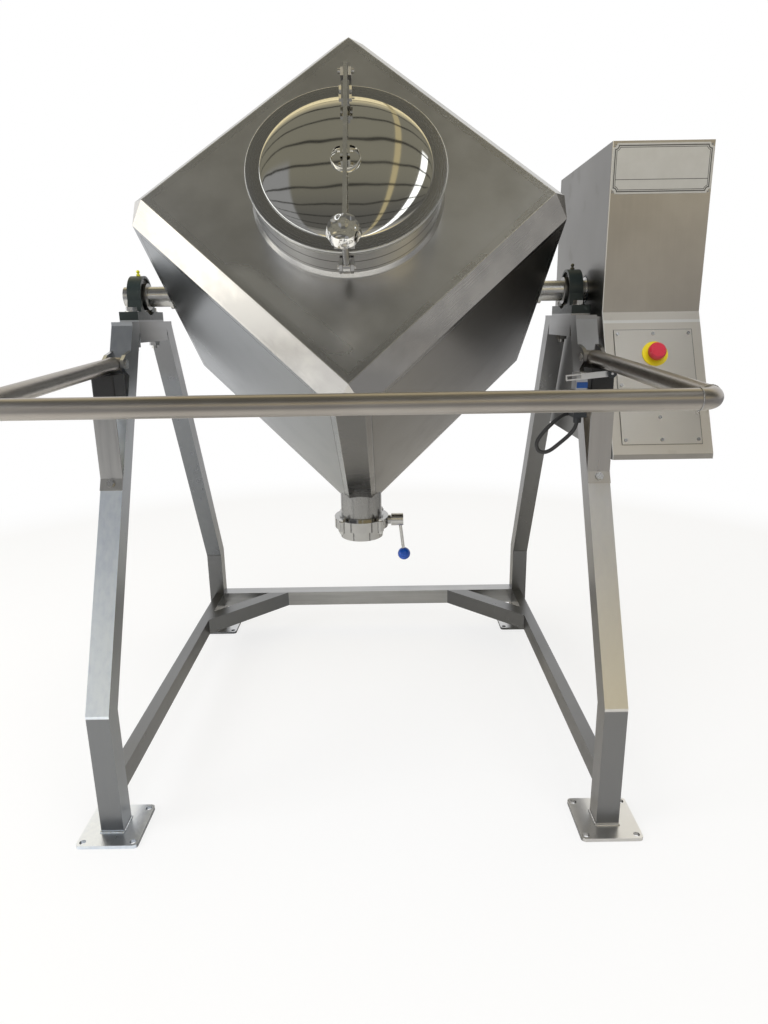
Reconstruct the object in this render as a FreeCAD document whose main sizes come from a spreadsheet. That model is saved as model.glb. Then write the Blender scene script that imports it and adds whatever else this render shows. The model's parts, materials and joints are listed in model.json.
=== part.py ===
# Cubic powder mixer: a square drum that tumbles on a diagonal shaft in a tube stand.
# Millimetres, +Z up. The origin is on the floor, midway between the four feet and under the shaft.
import FreeCAD, Part
import math
import os
import Sketcher

doc = FreeCAD.newDocument("cubic_powder_mixer")
sheet = doc.addObject("Spreadsheet::Sheet", "Sizes")
NODES = []
X_AXIS = FreeCAD.Vector(1, 0, 0)
Y_AXIS = FreeCAD.Vector(0, 1, 0)
Z_AXIS = FreeCAD.Vector(0, 0, 1)
ROOT2 = math.sqrt(2)
ROOT3 = math.sqrt(3)
CORNER_ANGLE = math.degrees(math.atan(ROOT2))
TAN_FACE_MITRE = math.tan(math.radians(22.5))
TAN_CORNER_MITRE = math.tan(math.acos(ROOT2 / ROOT3) / 2)


class Size:
    """A number together with the sheet expression that gives it."""

    def __init__(self, value, text):
        self.value = float(value)
        self.text = text

    def __float__(self):
        return self.value

    def __add__(self, other):
        other = as_size(other)
        return Size(self.value + other.value, f"({self.text} + {other.text})")

    def __sub__(self, other):
        other = as_size(other)
        return Size(self.value - other.value, f"({self.text} - {other.text})")

    def __mul__(self, other):
        other = as_size(other)
        return Size(self.value * other.value, f"({self.text} * {other.text})")

    def __truediv__(self, other):
        other = as_size(other)
        return Size(self.value / other.value, f"({self.text} / {other.text})")

    def __neg__(self):
        return Size(-self.value, f"(-1 * {self.text})")

    def __radd__(self, other):
        return as_size(other) + self

    def __rsub__(self, other):
        return as_size(other) - self

    def __rmul__(self, other):
        return as_size(other) * self


def as_size(number):
    if isinstance(number, Size):
        return number
    return Size(number, f"({float(number)!r})")


def size(alias, value):
    """Write one driving dimension to the sheet and return it."""
    size.row += 1
    cell = f"B{size.row}"
    sheet.set(f"A{size.row}", alias)
    sheet.set(cell, str(value))
    sheet.setAlias(cell, alias)
    return Size(value, f"Sizes.{alias}")


size.row = 0

# stand
leg_x = size("leg_centre_x", 551)
leg_tube = size("leg_tube", 50)
tube_wall = size("tube_wall", 3)
top_y = size("leg_top_y", 137)
foot_y = size("leg_foot_y", 542)
frame_top = size("frame_top", 1104)
bend_z = size("upper_bend_height", 1089)
knee_z = size("knee_height", 292)
rail_bottom = size("rail_bottom", 91)
rail_width = size("side_rail_width", 30)
brace_reach = size("brace_reach", 200)
plate_side = size("foot_plate_side", 135)
plate_thick = size("foot_plate_thickness", 8)
plate_round = size("foot_plate_corner", 10)
plate_hole = size("foot_hole_diameter", 14)
plate_pitch = size("foot_hole_pitch", 110)

# shaft and bearings
shaft_radius = size("shaft_radius", 25)
collar_length = size("shaft_collar_length", 8)
bearing_x = size("bearing_centre_x", 553)
seat_thick = size("bearing_seat_thickness", 4)
bearing_rise = size("bearing_centre_rise", 57.2)
block_length = size("bearing_base_length", 206)
block_width = size("bearing_base_width", 46)
block_foot = size("bearing_foot_thickness", 20)
block_radius = size("bearing_head_radius", 51)
block_head = size("bearing_head_width", 34)
block_pitch = size("bearing_bolt_pitch", 156)
block_bolt = size("bearing_bolt_radius", 8)
outer_ring = size("outer_ring_radius", 45)
race_radius = size("outer_race_radius", 38.5)
ring_width = size("outer_ring_width", 22)
inner_width = size("inner_ring_width", 46)
running_gap = size("running_gap", 0.05)
seat_gap = size("seating_gap", 0.3)

# drum
cube = size("drum_side", 700)
inset = size("edge_strip_inset", 42.5)
drum_wall = size("drum_wall", 4)
tilt = size("drum_tilt", 3.2)

# manhole, lid and clamp
neck_radius = size("neck_radius", 196)
neck_wall = size("neck_wall", 4)
neck_height = size("neck_height", 74)
neck_flange = size("neck_flange_radius", 200)
flange_thick = size("neck_flange_thickness", 8)
weld_foot = size("neck_weld_foot", 5)
gasket_thick = size("gasket_thickness", 4)
lid_radius = size("lid_radius", 202)
lid_plate = size("lid_plate_thickness", 8)
step_radius = size("lid_step_radius", 172)
crown_radius = size("lid_crown_radius", 166)
step_rise = size("lid_step_rise", 4)
crown_rise = size("lid_crown_rise", 13)
boss_radius = size("lid_boss_radius", 30.5)
boss_wall = size("lid_boss_wall", 3)
boss_rise = size("lid_boss_rise", 8)
arm_thick = size("lid_arm_thickness", 8)
arm_height = size("lid_arm_height", 20)
arm_back = size("arm_rise_at_hinge", 113)
arm_front = size("arm_rise_at_clamp", 133)
lug_length = size("arm_lug_length", 28)
cheek_bolt_near = size("cheek_bolt_near", 62)
cheek_bolt_far = size("cheek_bolt_far", 86)
fork_outer = size("fork_half_width", 19)
fork_thick = size("fork_thickness", 10)
hinge_out = size("lid_hinge_out", 222)
hinge_pin = size("lid_hinge_pin_radius", 5)
hinge_rise = size("lid_hinge_rise", 101)
ear_thick = size("hinge_ear_thickness", 6)
clamp_out = size("clamp_bolt_out", 216)
clamp_rise = size("clamp_pin_rise", 60)
clamp_rod = size("clamp_rod_radius", 6)
clamp_eye = size("clamp_eye_radius", 12)
lug_thick = size("clamp_lug_thickness", 6)
knob_radius = size("knob_radius", 33)
knob_height = size("knob_height", 30)

# outlet and valve
outlet_radius = size("outlet_radius", 57.15)
outlet_wall = size("outlet_wall", 3)
outlet_sink = size("outlet_sink", 45)
valve_drop = size("valve_drop", 38)
valve_height = size("valve_body_height", 38)
valve_radius = size("valve_body_radius", 62)
valve_bore = size("valve_bore_radius", 52)
valve_flange = size("valve_flange_radius", 76)
flange_height = size("valve_flange_height", 28)
lobe_radius = size("valve_lobe_radius", 10)
lobe_circle = size("valve_lobe_circle", 75)
valve_bolt_radius = size("valve_bolt_radius", 4)
weld_end = size("valve_weld_end_length", 25)
seat_wall = size("valve_seat_wall", 4)
disc_thick = size("valve_disc_thickness", 8)
stem_radius = size("valve_stem_radius", 8)
barrel_radius = size("lever_barrel_radius", 17.5)
barrel_start = size("lever_barrel_start", 84)
barrel_end = size("lever_barrel_end", 118)
lever_rod = size("lever_rod_radius", 4.5)
lever_drop = size("lever_drop", 105)
ball_radius = size("lever_ball_radius", 18)

# guard rail with its stops
guard_tube = size("guard_tube_radius", 16.5)
guard_wall = size("guard_tube_wall", 2)
guard_x = size("guard_arm_x", 551)
pivot_y = size("guard_pivot_y", -233)
pivot_z = size("guard_pivot_height", 1011)
guard_length = size("guard_arm_length", 622)
guard_slope = size("guard_arm_slope", 2.6)
guard_splay = size("guard_arm_splay", 0.8)
guard_bend = size("guard_bend_radius", 28)
guard_pin = size("guard_pin_radius", 6)
guard_lug = size("guard_lug_thickness", 8)
lug_reach = size("guard_lug_reach", 16)
lug_rise = size("guard_lug_rise", 27)
strip_thick = size("bracket_strip_thickness", 4)
strip_foot = size("bracket_foot_height", 738)
strip_fold = size("bracket_fold_height", 763)
shelf_z = size("bracket_shelf_height", 917)
buffer_margin = size("buffer_margin", 8)

# limit switch and its cable
switch_x = size("switch_outer_x", 516)
switch_width = size("switch_width", 29)
switch_forward = size("switch_forward", 4.3)
switch_depth = size("switch_depth", 45)
switch_bottom = size("switch_bottom", 885)
switch_height = size("switch_body_height", 60)
switch_head = size("switch_head_height", 37)
lever_pivot_x = size("switch_pivot_x", 503)
lever_pivot_z = size("switch_pivot_height", 976)
roller_x = size("switch_roller_x", 561)
lever_tail = size("switch_lever_tail", 40)
roller_radius = size("switch_roller_radius", 9)
cable_radius = size("cable_radius", 4.5)

# drive cabinet
cabinet_x = size("cabinet_inner_x", 587)
cabinet_width = size("cabinet_width", 229)
cabinet_top = size("cabinet_top", 1477)
cabinet_front = size("cabinet_front_y", -163)
cabinet_back = size("cabinet_back_y", 308)
ledge_top = size("ledge_top", 1109)
panel_top = size("panel_top", 1089)
panel_top_y = size("panel_top_y", -173)
panel_low = size("panel_low", 796)
panel_low_y = size("panel_low_y", -314)
cabinet_bottom = size("cabinet_bottom", 784)
sheet_metal = size("sheet_metal", 2)
cover_inset = size("cover_side_inset", 22.5)
cover_top = size("cover_top_inset", 23)
cover_height = size("cover_height", 280)
stop_x = size("stop_from_side", 115)
stop_down = size("stop_from_top", 84)
stop_disc = size("stop_disc_radius", 30)
stop_button = size("stop_button_radius", 20)
gear_width = size("reducer_width", 128)
gear_side = size("reducer_side", 190)
motor_radius = size("motor_radius", 70)
motor_length = size("motor_length", 250)
sleeve_radius = size("output_sleeve_radius", 32)

# places that follow from the sizes above
half_tube = leg_tube / 2
leg_inner = leg_x - half_tube
leg_outer = leg_x + half_tube
axis_z = frame_top + seat_thick + bearing_rise
half_cube = cube / 2
face_half = half_cube - inset
strip_half = inset * ROOT2 / 2
strip_distance = (half_cube + face_half) / ROOT2
corner_distance = (half_cube + face_half * 2) / ROOT3
leg_lean = (foot_y - top_y) / (bend_z - knee_z)
lean_stretch = Size(math.hypot(1, float(leg_lean)), f"sqrt(1 + {leg_lean.text} ^ 2)")
strip_skew = strip_thick * lean_stretch
gasket_top = neck_height + gasket_thick
lid_top = gasket_top + lid_plate
crown_top = lid_top + step_rise + crown_rise
arm_slope = (arm_front - arm_back) / (hinge_out + clamp_out)
arm_middle = arm_back + hinge_out * arm_slope
arm_top = arm_front + arm_height / 2
valve_top = corner_distance + valve_drop
tube_start = corner_distance - outlet_sink
valve_middle = valve_top + valve_height / 2
valve_bottom = valve_top + valve_height


def tan_half(rise, run):
    """The tangent of half the angle whose tangent is rise over run."""
    value = math.tan(math.atan2(float(rise), float(run)) / 2)
    return Size(value, f"tan(atan({rise.text} / {run.text}) / 2)")


def sine(angle):
    """The sine of an angle in degrees."""
    return Size(math.sin(math.radians(float(angle))), f"sin({angle.text})")


def cosine(angle):
    """The cosine of an angle in degrees."""
    return Size(math.cos(math.radians(float(angle))), f"cos({angle.text})")


def leg_face(height):
    """Y of a front leg's front face at a height on its sloping part."""
    mitre = tan_half(foot_y - top_y, bend_z - knee_z) * half_tube
    return -(top_y + half_tube) - (bend_z + mitre - height) * leg_lean


def bind(item, **rules):
    """Bind properties to the sheet; x, y and z stand for the place of the item."""
    places = {"x": "Placement.Base.x", "y": "Placement.Base.y", "z": "Placement.Base.z"}
    for name, rule in rules.items():
        item.setExpression(places.get(name, name), as_size(rule).text)
    return item


def box(name, length, width, height, x=0, y=0, z=0):
    item = doc.addObject("Part::Box", name)
    return bind(item, Length=length, Width=width, Height=height, x=x, y=y, z=z)


TURNS = {
    "x": FreeCAD.Rotation(Y_AXIS, 90),
    "y": FreeCAD.Rotation(X_AXIS, -90),
    "z": FreeCAD.Rotation(),
}


def rod(name, radius, length, axis="z", x=0, y=0, z=0):
    """A round bar that starts at x, y, z and runs along the named axis."""
    item = doc.addObject("Part::Cylinder", name)
    item.Placement.Rotation = TURNS[axis]
    return bind(item, Radius=radius, Height=length, x=x, y=y, z=z)


def cone(name, radius_low, radius_high, height, z=0):
    item = doc.addObject("Part::Cone", name)
    return bind(item, Radius1=radius_low, Radius2=radius_high, Height=height, z=z)


def ball(name, radius, x=0, y=0, z=0):
    item = doc.addObject("Part::Sphere", name)
    return bind(item, Radius=radius, x=x, y=y, z=z)


def cut(name, base, tool):
    item = doc.addObject("Part::Cut", name)
    item.Base = base
    item.Tool = tool
    return item


def fuse(name, *parts):
    item = doc.addObject("Part::MultiFuse", name)
    item.Shapes = list(parts)
    item.Refine = True
    return item


def common(name, first, second):
    item = doc.addObject("Part::Common", name)
    item.Base = first
    item.Tool = second
    return item


def group(name, *parts):
    item = doc.addObject("Part::Compound", name)
    item.Links = list(parts)
    return item


def bored(name, base, *tools):
    """The base less all the tools."""
    if len(tools) == 1:
        return cut(name, base, tools[0])
    return cut(name, base, group(f"{name}_holes", *tools))


def pipe(name, outer, inner, length, axis="z", x=0, y=0, z=0):
    shell = rod(f"{name}_outer", outer, length, axis, x, y, z)
    hole = rod(f"{name}_inner", inner, length, axis, x, y, z)
    return cut(name, shell, hole)


def hexagon(name, across, height, axis="z", x=0, y=0, z=0):
    """A hexagonal bolt head or nut of the given distance across its corners."""
    item = doc.addObject("Part::Prism", name)
    item.Polygon = 6
    item.Placement.Rotation = TURNS[axis]
    return bind(item, Circumradius=across / 2, Height=height, x=x, y=y, z=z)


def node(item, label, frame=None):
    """Name a finished sub-part and put it in its frame."""
    item.Label = label
    if frame is not None:
        item.Placement = frame.multiply(item.Placement)
    NODES.append(item)
    return item


def origin_plane(body, role):
    return next(plane for plane in body.Origin.OriginFeatures if plane.Role == role)


def outline(body, name, role, *loops):
    """A sketch of closed polygons whose corners are bound to the sheet."""
    sketch = body.newObject("Sketcher::SketchObject", name)
    sketch.AttachmentSupport = (origin_plane(body, role), [""])
    sketch.MapMode = "FlatFace"
    for loop in loops:
        first = sketch.GeometryCount
        count = len(loop)
        corners = [FreeCAD.Vector(float(a), float(b), 0) for a, b in loop]
        for index in range(count):
            sketch.addGeometry(Part.LineSegment(corners[index], corners[(index + 1) % count]), False)
        for index in range(count):
            following = first + (index + 1) % count
            sketch.addConstraint(Sketcher.Constraint("Coincident", first + index, 2, following, 1))
        for index, (a, b) in enumerate(loop):
            for kind, rule in (("DistanceX", a), ("DistanceY", b)):
                rule = as_size(rule)
                number = sketch.addConstraint(
                    Sketcher.Constraint(kind, -1, 1, first + index, 1, float(rule)))
                sketch.setExpression(f"Constraints[{number}]", rule.text)
    return sketch


def padded(name, role, loops, length, x=0, y=0, z=0):
    """A body padded from a polygon: YZ_Plane pads along +X and XY_Plane along +Z."""
    body = doc.addObject("PartDesign::Body", name)
    sketch = outline(body, f"{name}_outline", role, *loops)
    pad = body.newObject("PartDesign::Pad", f"{name}_pad")
    pad.Profile = sketch
    bind(pad, Length=length)
    return bind(body, x=x, y=y, z=z)


def revolved(name, loop):
    """A body turned about +Z from a profile of radius and height."""
    body = doc.addObject("PartDesign::Body", name)
    sketch = outline(body, f"{name}_outline", "YZ_Plane", loop)
    turn = body.newObject("PartDesign::Revolution", f"{name}_turn")
    turn.Profile = sketch
    turn.ReferenceAxis = (sketch, ["V_Axis"])
    turn.Angle = 360
    return body


def turned(angle, y=0, z=0, x=0):
    """A frame at a place, turned about +X by an angle in degrees."""
    place = FreeCAD.Vector(float(x), float(y), float(z))
    return FreeCAD.Placement(place, FreeCAD.Rotation(X_AXIS, float(angle)))


switch_front = leg_face(strip_fold) - switch_forward
buffer_front = leg_face(strip_fold) + buffer_margin
buffer_depth = leg_face(shelf_z) - seat_gap - buffer_front

DRUM = turned(tilt, z=axis_z)
LID = turned(float(tilt) + CORNER_ANGLE, z=axis_z)
GUARD = turned(guard_slope, y=pivot_y, z=pivot_z)
PANEL_ANGLE = math.degrees(math.atan2(float(panel_top_y - panel_low_y), float(panel_top - panel_low)))
PANEL = turned(-PANEL_ANGLE, x=cabinet_x, y=panel_top_y, z=panel_top)


def leg_profile(end, half, bottom, top):
    """Side view of a bent leg; end is -1 at the front and +1 at the rear."""
    mitre = tan_half(foot_y - top_y, bend_z - knee_z) * half
    near, far = (-half, half)
    return [
        (end * top_y + end * far, bottom * 0 + top),
        (end * top_y + end * far, bend_z + mitre),
        (end * foot_y + end * far, knee_z + mitre),
        (end * foot_y + end * far, bottom),
        (end * foot_y + end * near, bottom),
        (end * foot_y + end * near, knee_z - mitre),
        (end * top_y + end * near, bend_z - mitre),
        (end * top_y + end * near, bottom * 0 + top),
    ]


def leg(name, side, end):
    outside = leg_profile(end, half_tube, plate_thick, frame_top)
    inside = leg_profile(end, half_tube - tube_wall, plate_thick - 1, frame_top - tube_wall)
    left_face = side * leg_x - half_tube
    outer = padded(f"{name}_outer", "YZ_Plane", [outside], leg_tube, x=left_face)
    inner = padded(f"{name}_inner", "YZ_Plane", [inside], leg_tube - tube_wall * 2, x=left_face + tube_wall)
    node(cut(name, outer, inner), name)


def square_tube(name, lengths, corner, hollow_axis):
    """A rectangular tube that is open along one of its axes."""
    outer = box(f"{name}_outer", *lengths, *corner)
    inner_lengths = [value if axis == hollow_axis else value - tube_wall * 2
                     for axis, value in zip("xyz", lengths)]
    inner_corner = [value if axis == hollow_axis else value + tube_wall
                    for axis, value in zip("xyz", corner)]
    inner = box(f"{name}_inner", *inner_lengths, *inner_corner)
    return cut(name, outer, inner)


def crosspiece(name, side):
    reach = top_y - half_tube
    corner = (side * leg_x - half_tube, -reach, frame_top - leg_tube)
    tube = square_tube(f"{name}_tube", (leg_tube, reach * 2, leg_tube), corner, "y")
    holes = [rod(f"{name}_hole_{index}", block_bolt + seat_gap, leg_tube + 2, "z",
                 side * bearing_x, end * block_pitch / 2, frame_top - leg_tube - 1)
             for index, end in enumerate((-1, 1))]
    return bored(name, tube, *holes)


def side_rail(name, side):
    reach = foot_y - half_tube
    x = leg_inner if side > 0 else -leg_inner - rail_width
    return square_tube(name, (rail_width, reach * 2, leg_tube), (x, -reach, rail_bottom), "y")


def corner_brace(name, side):
    """A tube at 45 degrees between a side rail and the rear rail."""
    front = foot_y - half_tube

    def shape(half):
        spread = half * ROOT2
        return [
            (side * leg_inner, front - brace_reach - spread),
            (side * leg_inner, front - brace_reach + spread),
            (side * (leg_inner - brace_reach + spread), front),
            (side * (leg_inner - brace_reach - spread), front),
        ]

    outer = padded(f"{name}_outer", "XY_Plane", [shape(half_tube)], leg_tube, z=rail_bottom)
    inner = padded(f"{name}_inner", "XY_Plane", [shape(half_tube - tube_wall)],
                   leg_tube - tube_wall * 2, z=rail_bottom + tube_wall)
    return cut(name, outer, inner)


def upright_edges(item):
    """Numbers of the straight edges that run along Z."""
    doc.recompute()
    return [index + 1 for index, edge in enumerate(item.Shape.Edges)
            if abs(edge.tangentAt(edge.FirstParameter).z) > 0.99]


def foot_plate(name, side, end):
    half = plate_side / 2
    slab = box(f"{name}_slab", plate_side, plate_side, plate_thick, side * leg_x - half, end * foot_y - half, 0)
    rounded = doc.addObject("Part::Fillet", f"{name}_rounded")
    rounded.Base = slab
    rounded.Edges = [(edge, float(plate_round), float(plate_round)) for edge in upright_edges(slab)]
    holes = [rod(f"{name}_hole_{index}", plate_hole / 2, plate_thick + 2, "z",
                 side * leg_x + across * plate_pitch / 2, end * foot_y + along * plate_pitch / 2, -1)
             for index, (across, along) in enumerate(((-1, -1), (1, -1), (-1, 1), (1, 1)))]
    return bored(name, rounded, *holes)


SIDES = (("left", -1), ("right", 1))
ENDS = (("front", -1), ("rear", 1))
for side_name, side in SIDES:
    for end_name, end in ENDS:
        leg(f"{side_name}_{end_name}_leg", side, end)
node(group("crosspiece_pair", *[crosspiece(f"crosspiece_{n}", s) for n, s in SIDES]), "crosspieces")
node(group("side_rail_pair", *[side_rail(f"side_rail_{n}", s) for n, s in SIDES]), "side_rails")
node(square_tube("rear_rail_tube", (leg_inner * 2, leg_tube, leg_tube),
                 (-leg_inner, foot_y - half_tube, rail_bottom), "x"), "rear_rail")
node(group("brace_pair", *[corner_brace(f"corner_brace_{n}", s) for n, s in SIDES]), "corner_braces")
node(group("foot_plate_set", *[foot_plate(f"foot_plate_{n}_{m}", s, e) for n, s in SIDES for m, e in ENDS]),
     "foot_plates")


def bearing_seat(name, side):
    slab = box(f"{name}_slab", block_width, block_length, seat_thick,
               side * bearing_x - block_width / 2, -block_length / 2, frame_top)
    holes = [rod(f"{name}_hole_{index}", block_bolt + seat_gap, seat_thick + 2, "z",
                 side * bearing_x, end * block_pitch / 2, frame_top - 1)
             for index, end in enumerate((-1, 1))]
    return bored(name, slab, *holes)


def pillow_block(name, side):
    """A cast housing: a slotted foot, a waisted pedestal and a round head."""
    base = frame_top + seat_thick
    x = side * bearing_x
    foot = box(f"{name}_foot", block_width, block_length, block_foot, x - block_width / 2, -block_length / 2, base)
    waist = block_radius * 0.94
    pedestal = padded(f"{name}_pedestal", "YZ_Plane", [[
        (-block_radius * 1.2, base + block_foot / 2),
        (block_radius * 1.2, base + block_foot / 2),
        (waist, axis_z),
        (-waist, axis_z),
    ]], block_head, x=x - block_head / 2)
    head = rod(f"{name}_head", block_radius, block_head, "x", x - block_head / 2, 0, axis_z)
    body = fuse(f"{name}_body", foot, pedestal, head)
    bore = rod(f"{name}_bore", outer_ring, block_width + 2, "x", x - block_width / 2 - 1, 0, axis_z)
    holes = [rod(f"{name}_slot_{index}", block_bolt + seat_gap, block_foot + 2, "z",
                 x, end * block_pitch / 2, base - 1) for index, end in enumerate((-1, 1))]
    node(bored(name, body, bore, *holes), name)


def block_bolt_set(name, side, end):
    """A hexagon bolt through the block, its seat and the crosspiece, with a washer and a nut."""
    x = side * bearing_x
    y = end * block_pitch / 2
    low = frame_top - leg_tube
    high = frame_top + seat_thick + block_foot
    stem = rod(f"{name}_stem", block_bolt, high - low + 20, "z", x, y, low - 20)
    head = hexagon(f"{name}_head", block_bolt * 3.5, 9, "z", x, y, high + 2)
    washer_top = rod(f"{name}_washer", block_bolt * 2, 2, "z", x, y, high)
    nut = hexagon(f"{name}_nut", block_bolt * 3.5, 12, "z", x, y, low - 12)
    return fuse(name, stem, head, washer_top, nut)


def bearing_ring(name, side):
    return pipe(name, outer_ring, race_radius, ring_width, "x", side * bearing_x - ring_width / 2, 0, axis_z)


def inner_ring(name, side):
    """The wide inner ring, with the ball row and shields as one flange on it."""
    x = side * bearing_x
    sleeve = rod(f"{name}_sleeve", shaft_radius + 8, inner_width, "x", x - inner_width / 2, 0, axis_z)
    flange = rod(f"{name}_shield", race_radius - seat_gap, ring_width - 4, "x", x - ring_width / 2 + 2, 0, axis_z)
    bore = rod(f"{name}_bore", shaft_radius, inner_width + 2, "x", x - inner_width / 2 - 1, 0, axis_z)
    return cut(name, fuse(f"{name}_solid", sleeve, flange), bore)


def grease_nipple(name, side):
    x = side * bearing_x
    top = axis_z + block_radius
    stem = rod(f"{name}_stem", 3, 9, "z", x, 0, top)
    nut = hexagon(f"{name}_nut", as_size(11), 4, "z", x, 0, top)
    cap = ball(f"{name}_cap", 4.5, x, 0, top + 10)
    return fuse(name, stem, nut, cap)


node(group("bearing_seat_pair", *[bearing_seat(f"bearing_seat_{n}", s) for n, s in SIDES]), "bearing_seats")
for side_name, side in SIDES:
    pillow_block(f"{side_name}_pillow_block", side)
node(group("bearing_ring_pair", *[bearing_ring(f"bearing_ring_{n}", s) for n, s in SIDES]), "bearing_outer_rings")
node(group("block_bolt_four", *[block_bolt_set(f"block_bolt_{n}_{m}", s, e) for n, s in SIDES for m, e in ENDS]),
     "pillow_block_bolts")
node(group("nipple_pair", *[grease_nipple(f"grease_nipple_{n}", s) for n, s in SIDES]), "grease_nipples")
node(group("inner_ring_pair", *[inner_ring(f"inner_ring_{n}", s) for n, s in SIDES]), "bearing_inner_rings")


def shaft_stub(name, side, end):
    """A shaft welded to an edge strip by a collar, out to the given distance."""
    start = strip_distance
    low = start if side > 0 else -end
    bar = rod(f"{name}_bar", shaft_radius, end - start, "x", low, 0, axis_z)
    flange_x = start if side > 0 else -start - collar_length
    flange = rod(f"{name}_collar", shaft_radius + 6, collar_length, "x", flange_x, 0, axis_z)
    return fuse(name, bar, flange)


left_end = bearing_x + inner_width / 2 + 14
right_end = cabinet_x + gear_width + 12
node(group("shaft_pair", shaft_stub("shaft_stub_left", -1, left_end), shaft_stub("shaft_stub_right", 1, right_end)),
     "shaft_stubs")

# The drum's faces, seen with its body diagonal upright: the lid face looks to the front and up.
FACE_AXES = [
    FreeCAD.Vector(0, -ROOT2 / ROOT3, 1 / ROOT3),
    FreeCAD.Vector(-1 / ROOT2, -1 / (ROOT2 * ROOT3), -1 / ROOT3),
    FreeCAD.Vector(1 / ROOT2, -1 / (ROOT2 * ROOT3), -1 / ROOT3),
]


def facing(normal, along):
    """A rotation that takes +Y to the normal and +Z to the direction along the face."""
    across = normal.cross(along)
    return FreeCAD.Placement(FreeCAD.Matrix(
        across.x, normal.x, along.x, 0,
        across.y, normal.y, along.y, 0,
        across.z, normal.z, along.z, 0,
        0, 0, 0, 1))


def mitred_plate(name, frame, distance, half_across, half_along, mitre_across, mitre_along):
    """A plate whose edges are bevelled to meet its neighbours: +Y is outward."""
    item = doc.addObject("Part::Wedge", name)
    trim_across = drum_wall * mitre_across
    trim_along = drum_wall * mitre_along
    bind(item, Ymin=distance - drum_wall, Ymax=distance,
         Xmin=-(half_across - trim_across), Xmax=half_across - trim_across,
         Zmin=-(half_along - trim_along), Zmax=half_along - trim_along,
         X2min=-half_across, X2max=half_across, Z2min=-half_along, Z2max=half_along)
    item.Placement = frame
    return item


def outlet_hole(name):
    return rod(name, outlet_radius + seat_gap / 2, valve_top, "z", 0, 0, -valve_top)


def drum_face(name, index, sign, opened):
    normal = FACE_AXES[index] * sign
    along = FACE_AXES[(index + 1) % 3]
    plate = mitred_plate(f"{name}_sheet", facing(normal, along), half_cube, face_half, face_half,
                         TAN_FACE_MITRE, TAN_FACE_MITRE)
    return bored(name, plate, outlet_hole(f"{name}_outlet")) if opened else plate


def edge_strip(name, first, second, first_sign, second_sign, opened):
    normal = (FACE_AXES[first] * first_sign + FACE_AXES[second] * second_sign).normalize()
    along = FACE_AXES[3 - first - second]
    plate = mitred_plate(f"{name}_sheet", facing(normal, along), strip_distance, strip_half, face_half,
                         TAN_FACE_MITRE, TAN_CORNER_MITRE)
    return bored(name, plate, outlet_hole(f"{name}_outlet")) if opened else plate


def corner_plate(name, signs):
    """A triangular plate across one corner, bevelled to meet the three strips."""
    normal = sum((axis * sign for axis, sign in zip(FACE_AXES, signs)), FreeCAD.Vector()).normalize()
    rings = []
    for depth in (0, 1):
        distance = float(corner_distance) - depth * float(drum_wall)
        side = 2 * float(strip_half) - depth * 2 * ROOT3 * float(drum_wall) * TAN_CORNER_MITRE
        ring = []
        for axis, sign in zip(FACE_AXES, signs):
            toward = (axis * sign - normal * (normal.dot(axis) * sign)).normalize()
            ring.append(normal * distance + toward * (side / ROOT3))
        rings.append(ring)
    outer, inner = rings
    faces = [Part.Face(Part.makePolygon(outer + outer[:1])), Part.Face(Part.makePolygon(inner + inner[:1]))]
    for index in range(3):
        following = (index + 1) % 3
        corners = [outer[index], outer[following], inner[following], inner[index]]
        faces.append(Part.Face(Part.makePolygon(corners + corners[:1])))
    solid = Part.Solid(Part.Shell(faces))
    if solid.Volume < 0:
        solid.reverse()
    item = doc.addObject("Part::Feature", name)
    item.Shape = solid
    return item


OUTLET_SIGNS = (-1, 1, 1)
lid_sheet = drum_face("lid_face", 0, 1, False)
manhole = rod("manhole_opening", neck_radius - neck_wall, drum_wall * 3, "z", 0, 0, half_cube - drum_wall * 2)
manhole.Placement = FreeCAD.Placement(FreeCAD.Vector(), FreeCAD.Rotation(X_AXIS, CORNER_ANGLE)).multiply(
    FreeCAD.Placement(FreeCAD.Vector(0, 0, float(half_cube - drum_wall * 2)), FreeCAD.Rotation()))
for place in ("x", "y", "z"):
    manhole.setExpression(f"Placement.Base.{place}", None)
node(cut("lid_panel_cut", lid_sheet, manhole), "lid_panel", DRUM)

faces = []
for index in range(3):
    for sign in (-1, 1):
        if (index, sign) != (0, 1):
            faces.append(drum_face(f"drum_face_{index}_{sign + 1}", index, sign, OUTLET_SIGNS[index] == sign))
node(group("drum_face_set", *faces), "drum_panels", DRUM)

strips = []
for first, second in ((0, 1), (0, 2), (1, 2)):
    for first_sign in (-1, 1):
        for second_sign in (-1, 1):
            near_outlet = OUTLET_SIGNS[first] == first_sign and OUTLET_SIGNS[second] == second_sign
            strips.append(edge_strip(f"strip_{first}{second}_{first_sign + 1}{second_sign + 1}",
                                     first, second, first_sign, second_sign, near_outlet))
node(group("edge_strip_set", *strips), "edge_strips", DRUM)

corners = []
for first_sign in (-1, 1):
    for second_sign in (-1, 1):
        for third_sign in (-1, 1):
            signs = (first_sign, second_sign, third_sign)
            if signs != OUTLET_SIGNS:
                corners.append(corner_plate(f"corner_{len(corners)}", signs))
node(group("corner_plate_set", *corners), "corner_plates", DRUM)


def inner_volume(name):
    """The space inside the drum's walls, used to trim the outlet tube."""
    side = cube - drum_wall * 2
    block = box(f"{name}_block", side, side, side, -side / 2, -side / 2, -side / 2)
    doc.recompute()
    bevel = doc.addObject("Part::Chamfer", f"{name}_bevelled")
    bevel.Base = block
    depth = float(inset) + float(drum_wall) * (ROOT2 - 2)
    bevel.Edges = [(index + 1, depth, depth) for index in range(len(block.Shape.Edges))]
    bevel.Placement = facing(FACE_AXES[0], FACE_AXES[1])
    return bevel


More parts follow.
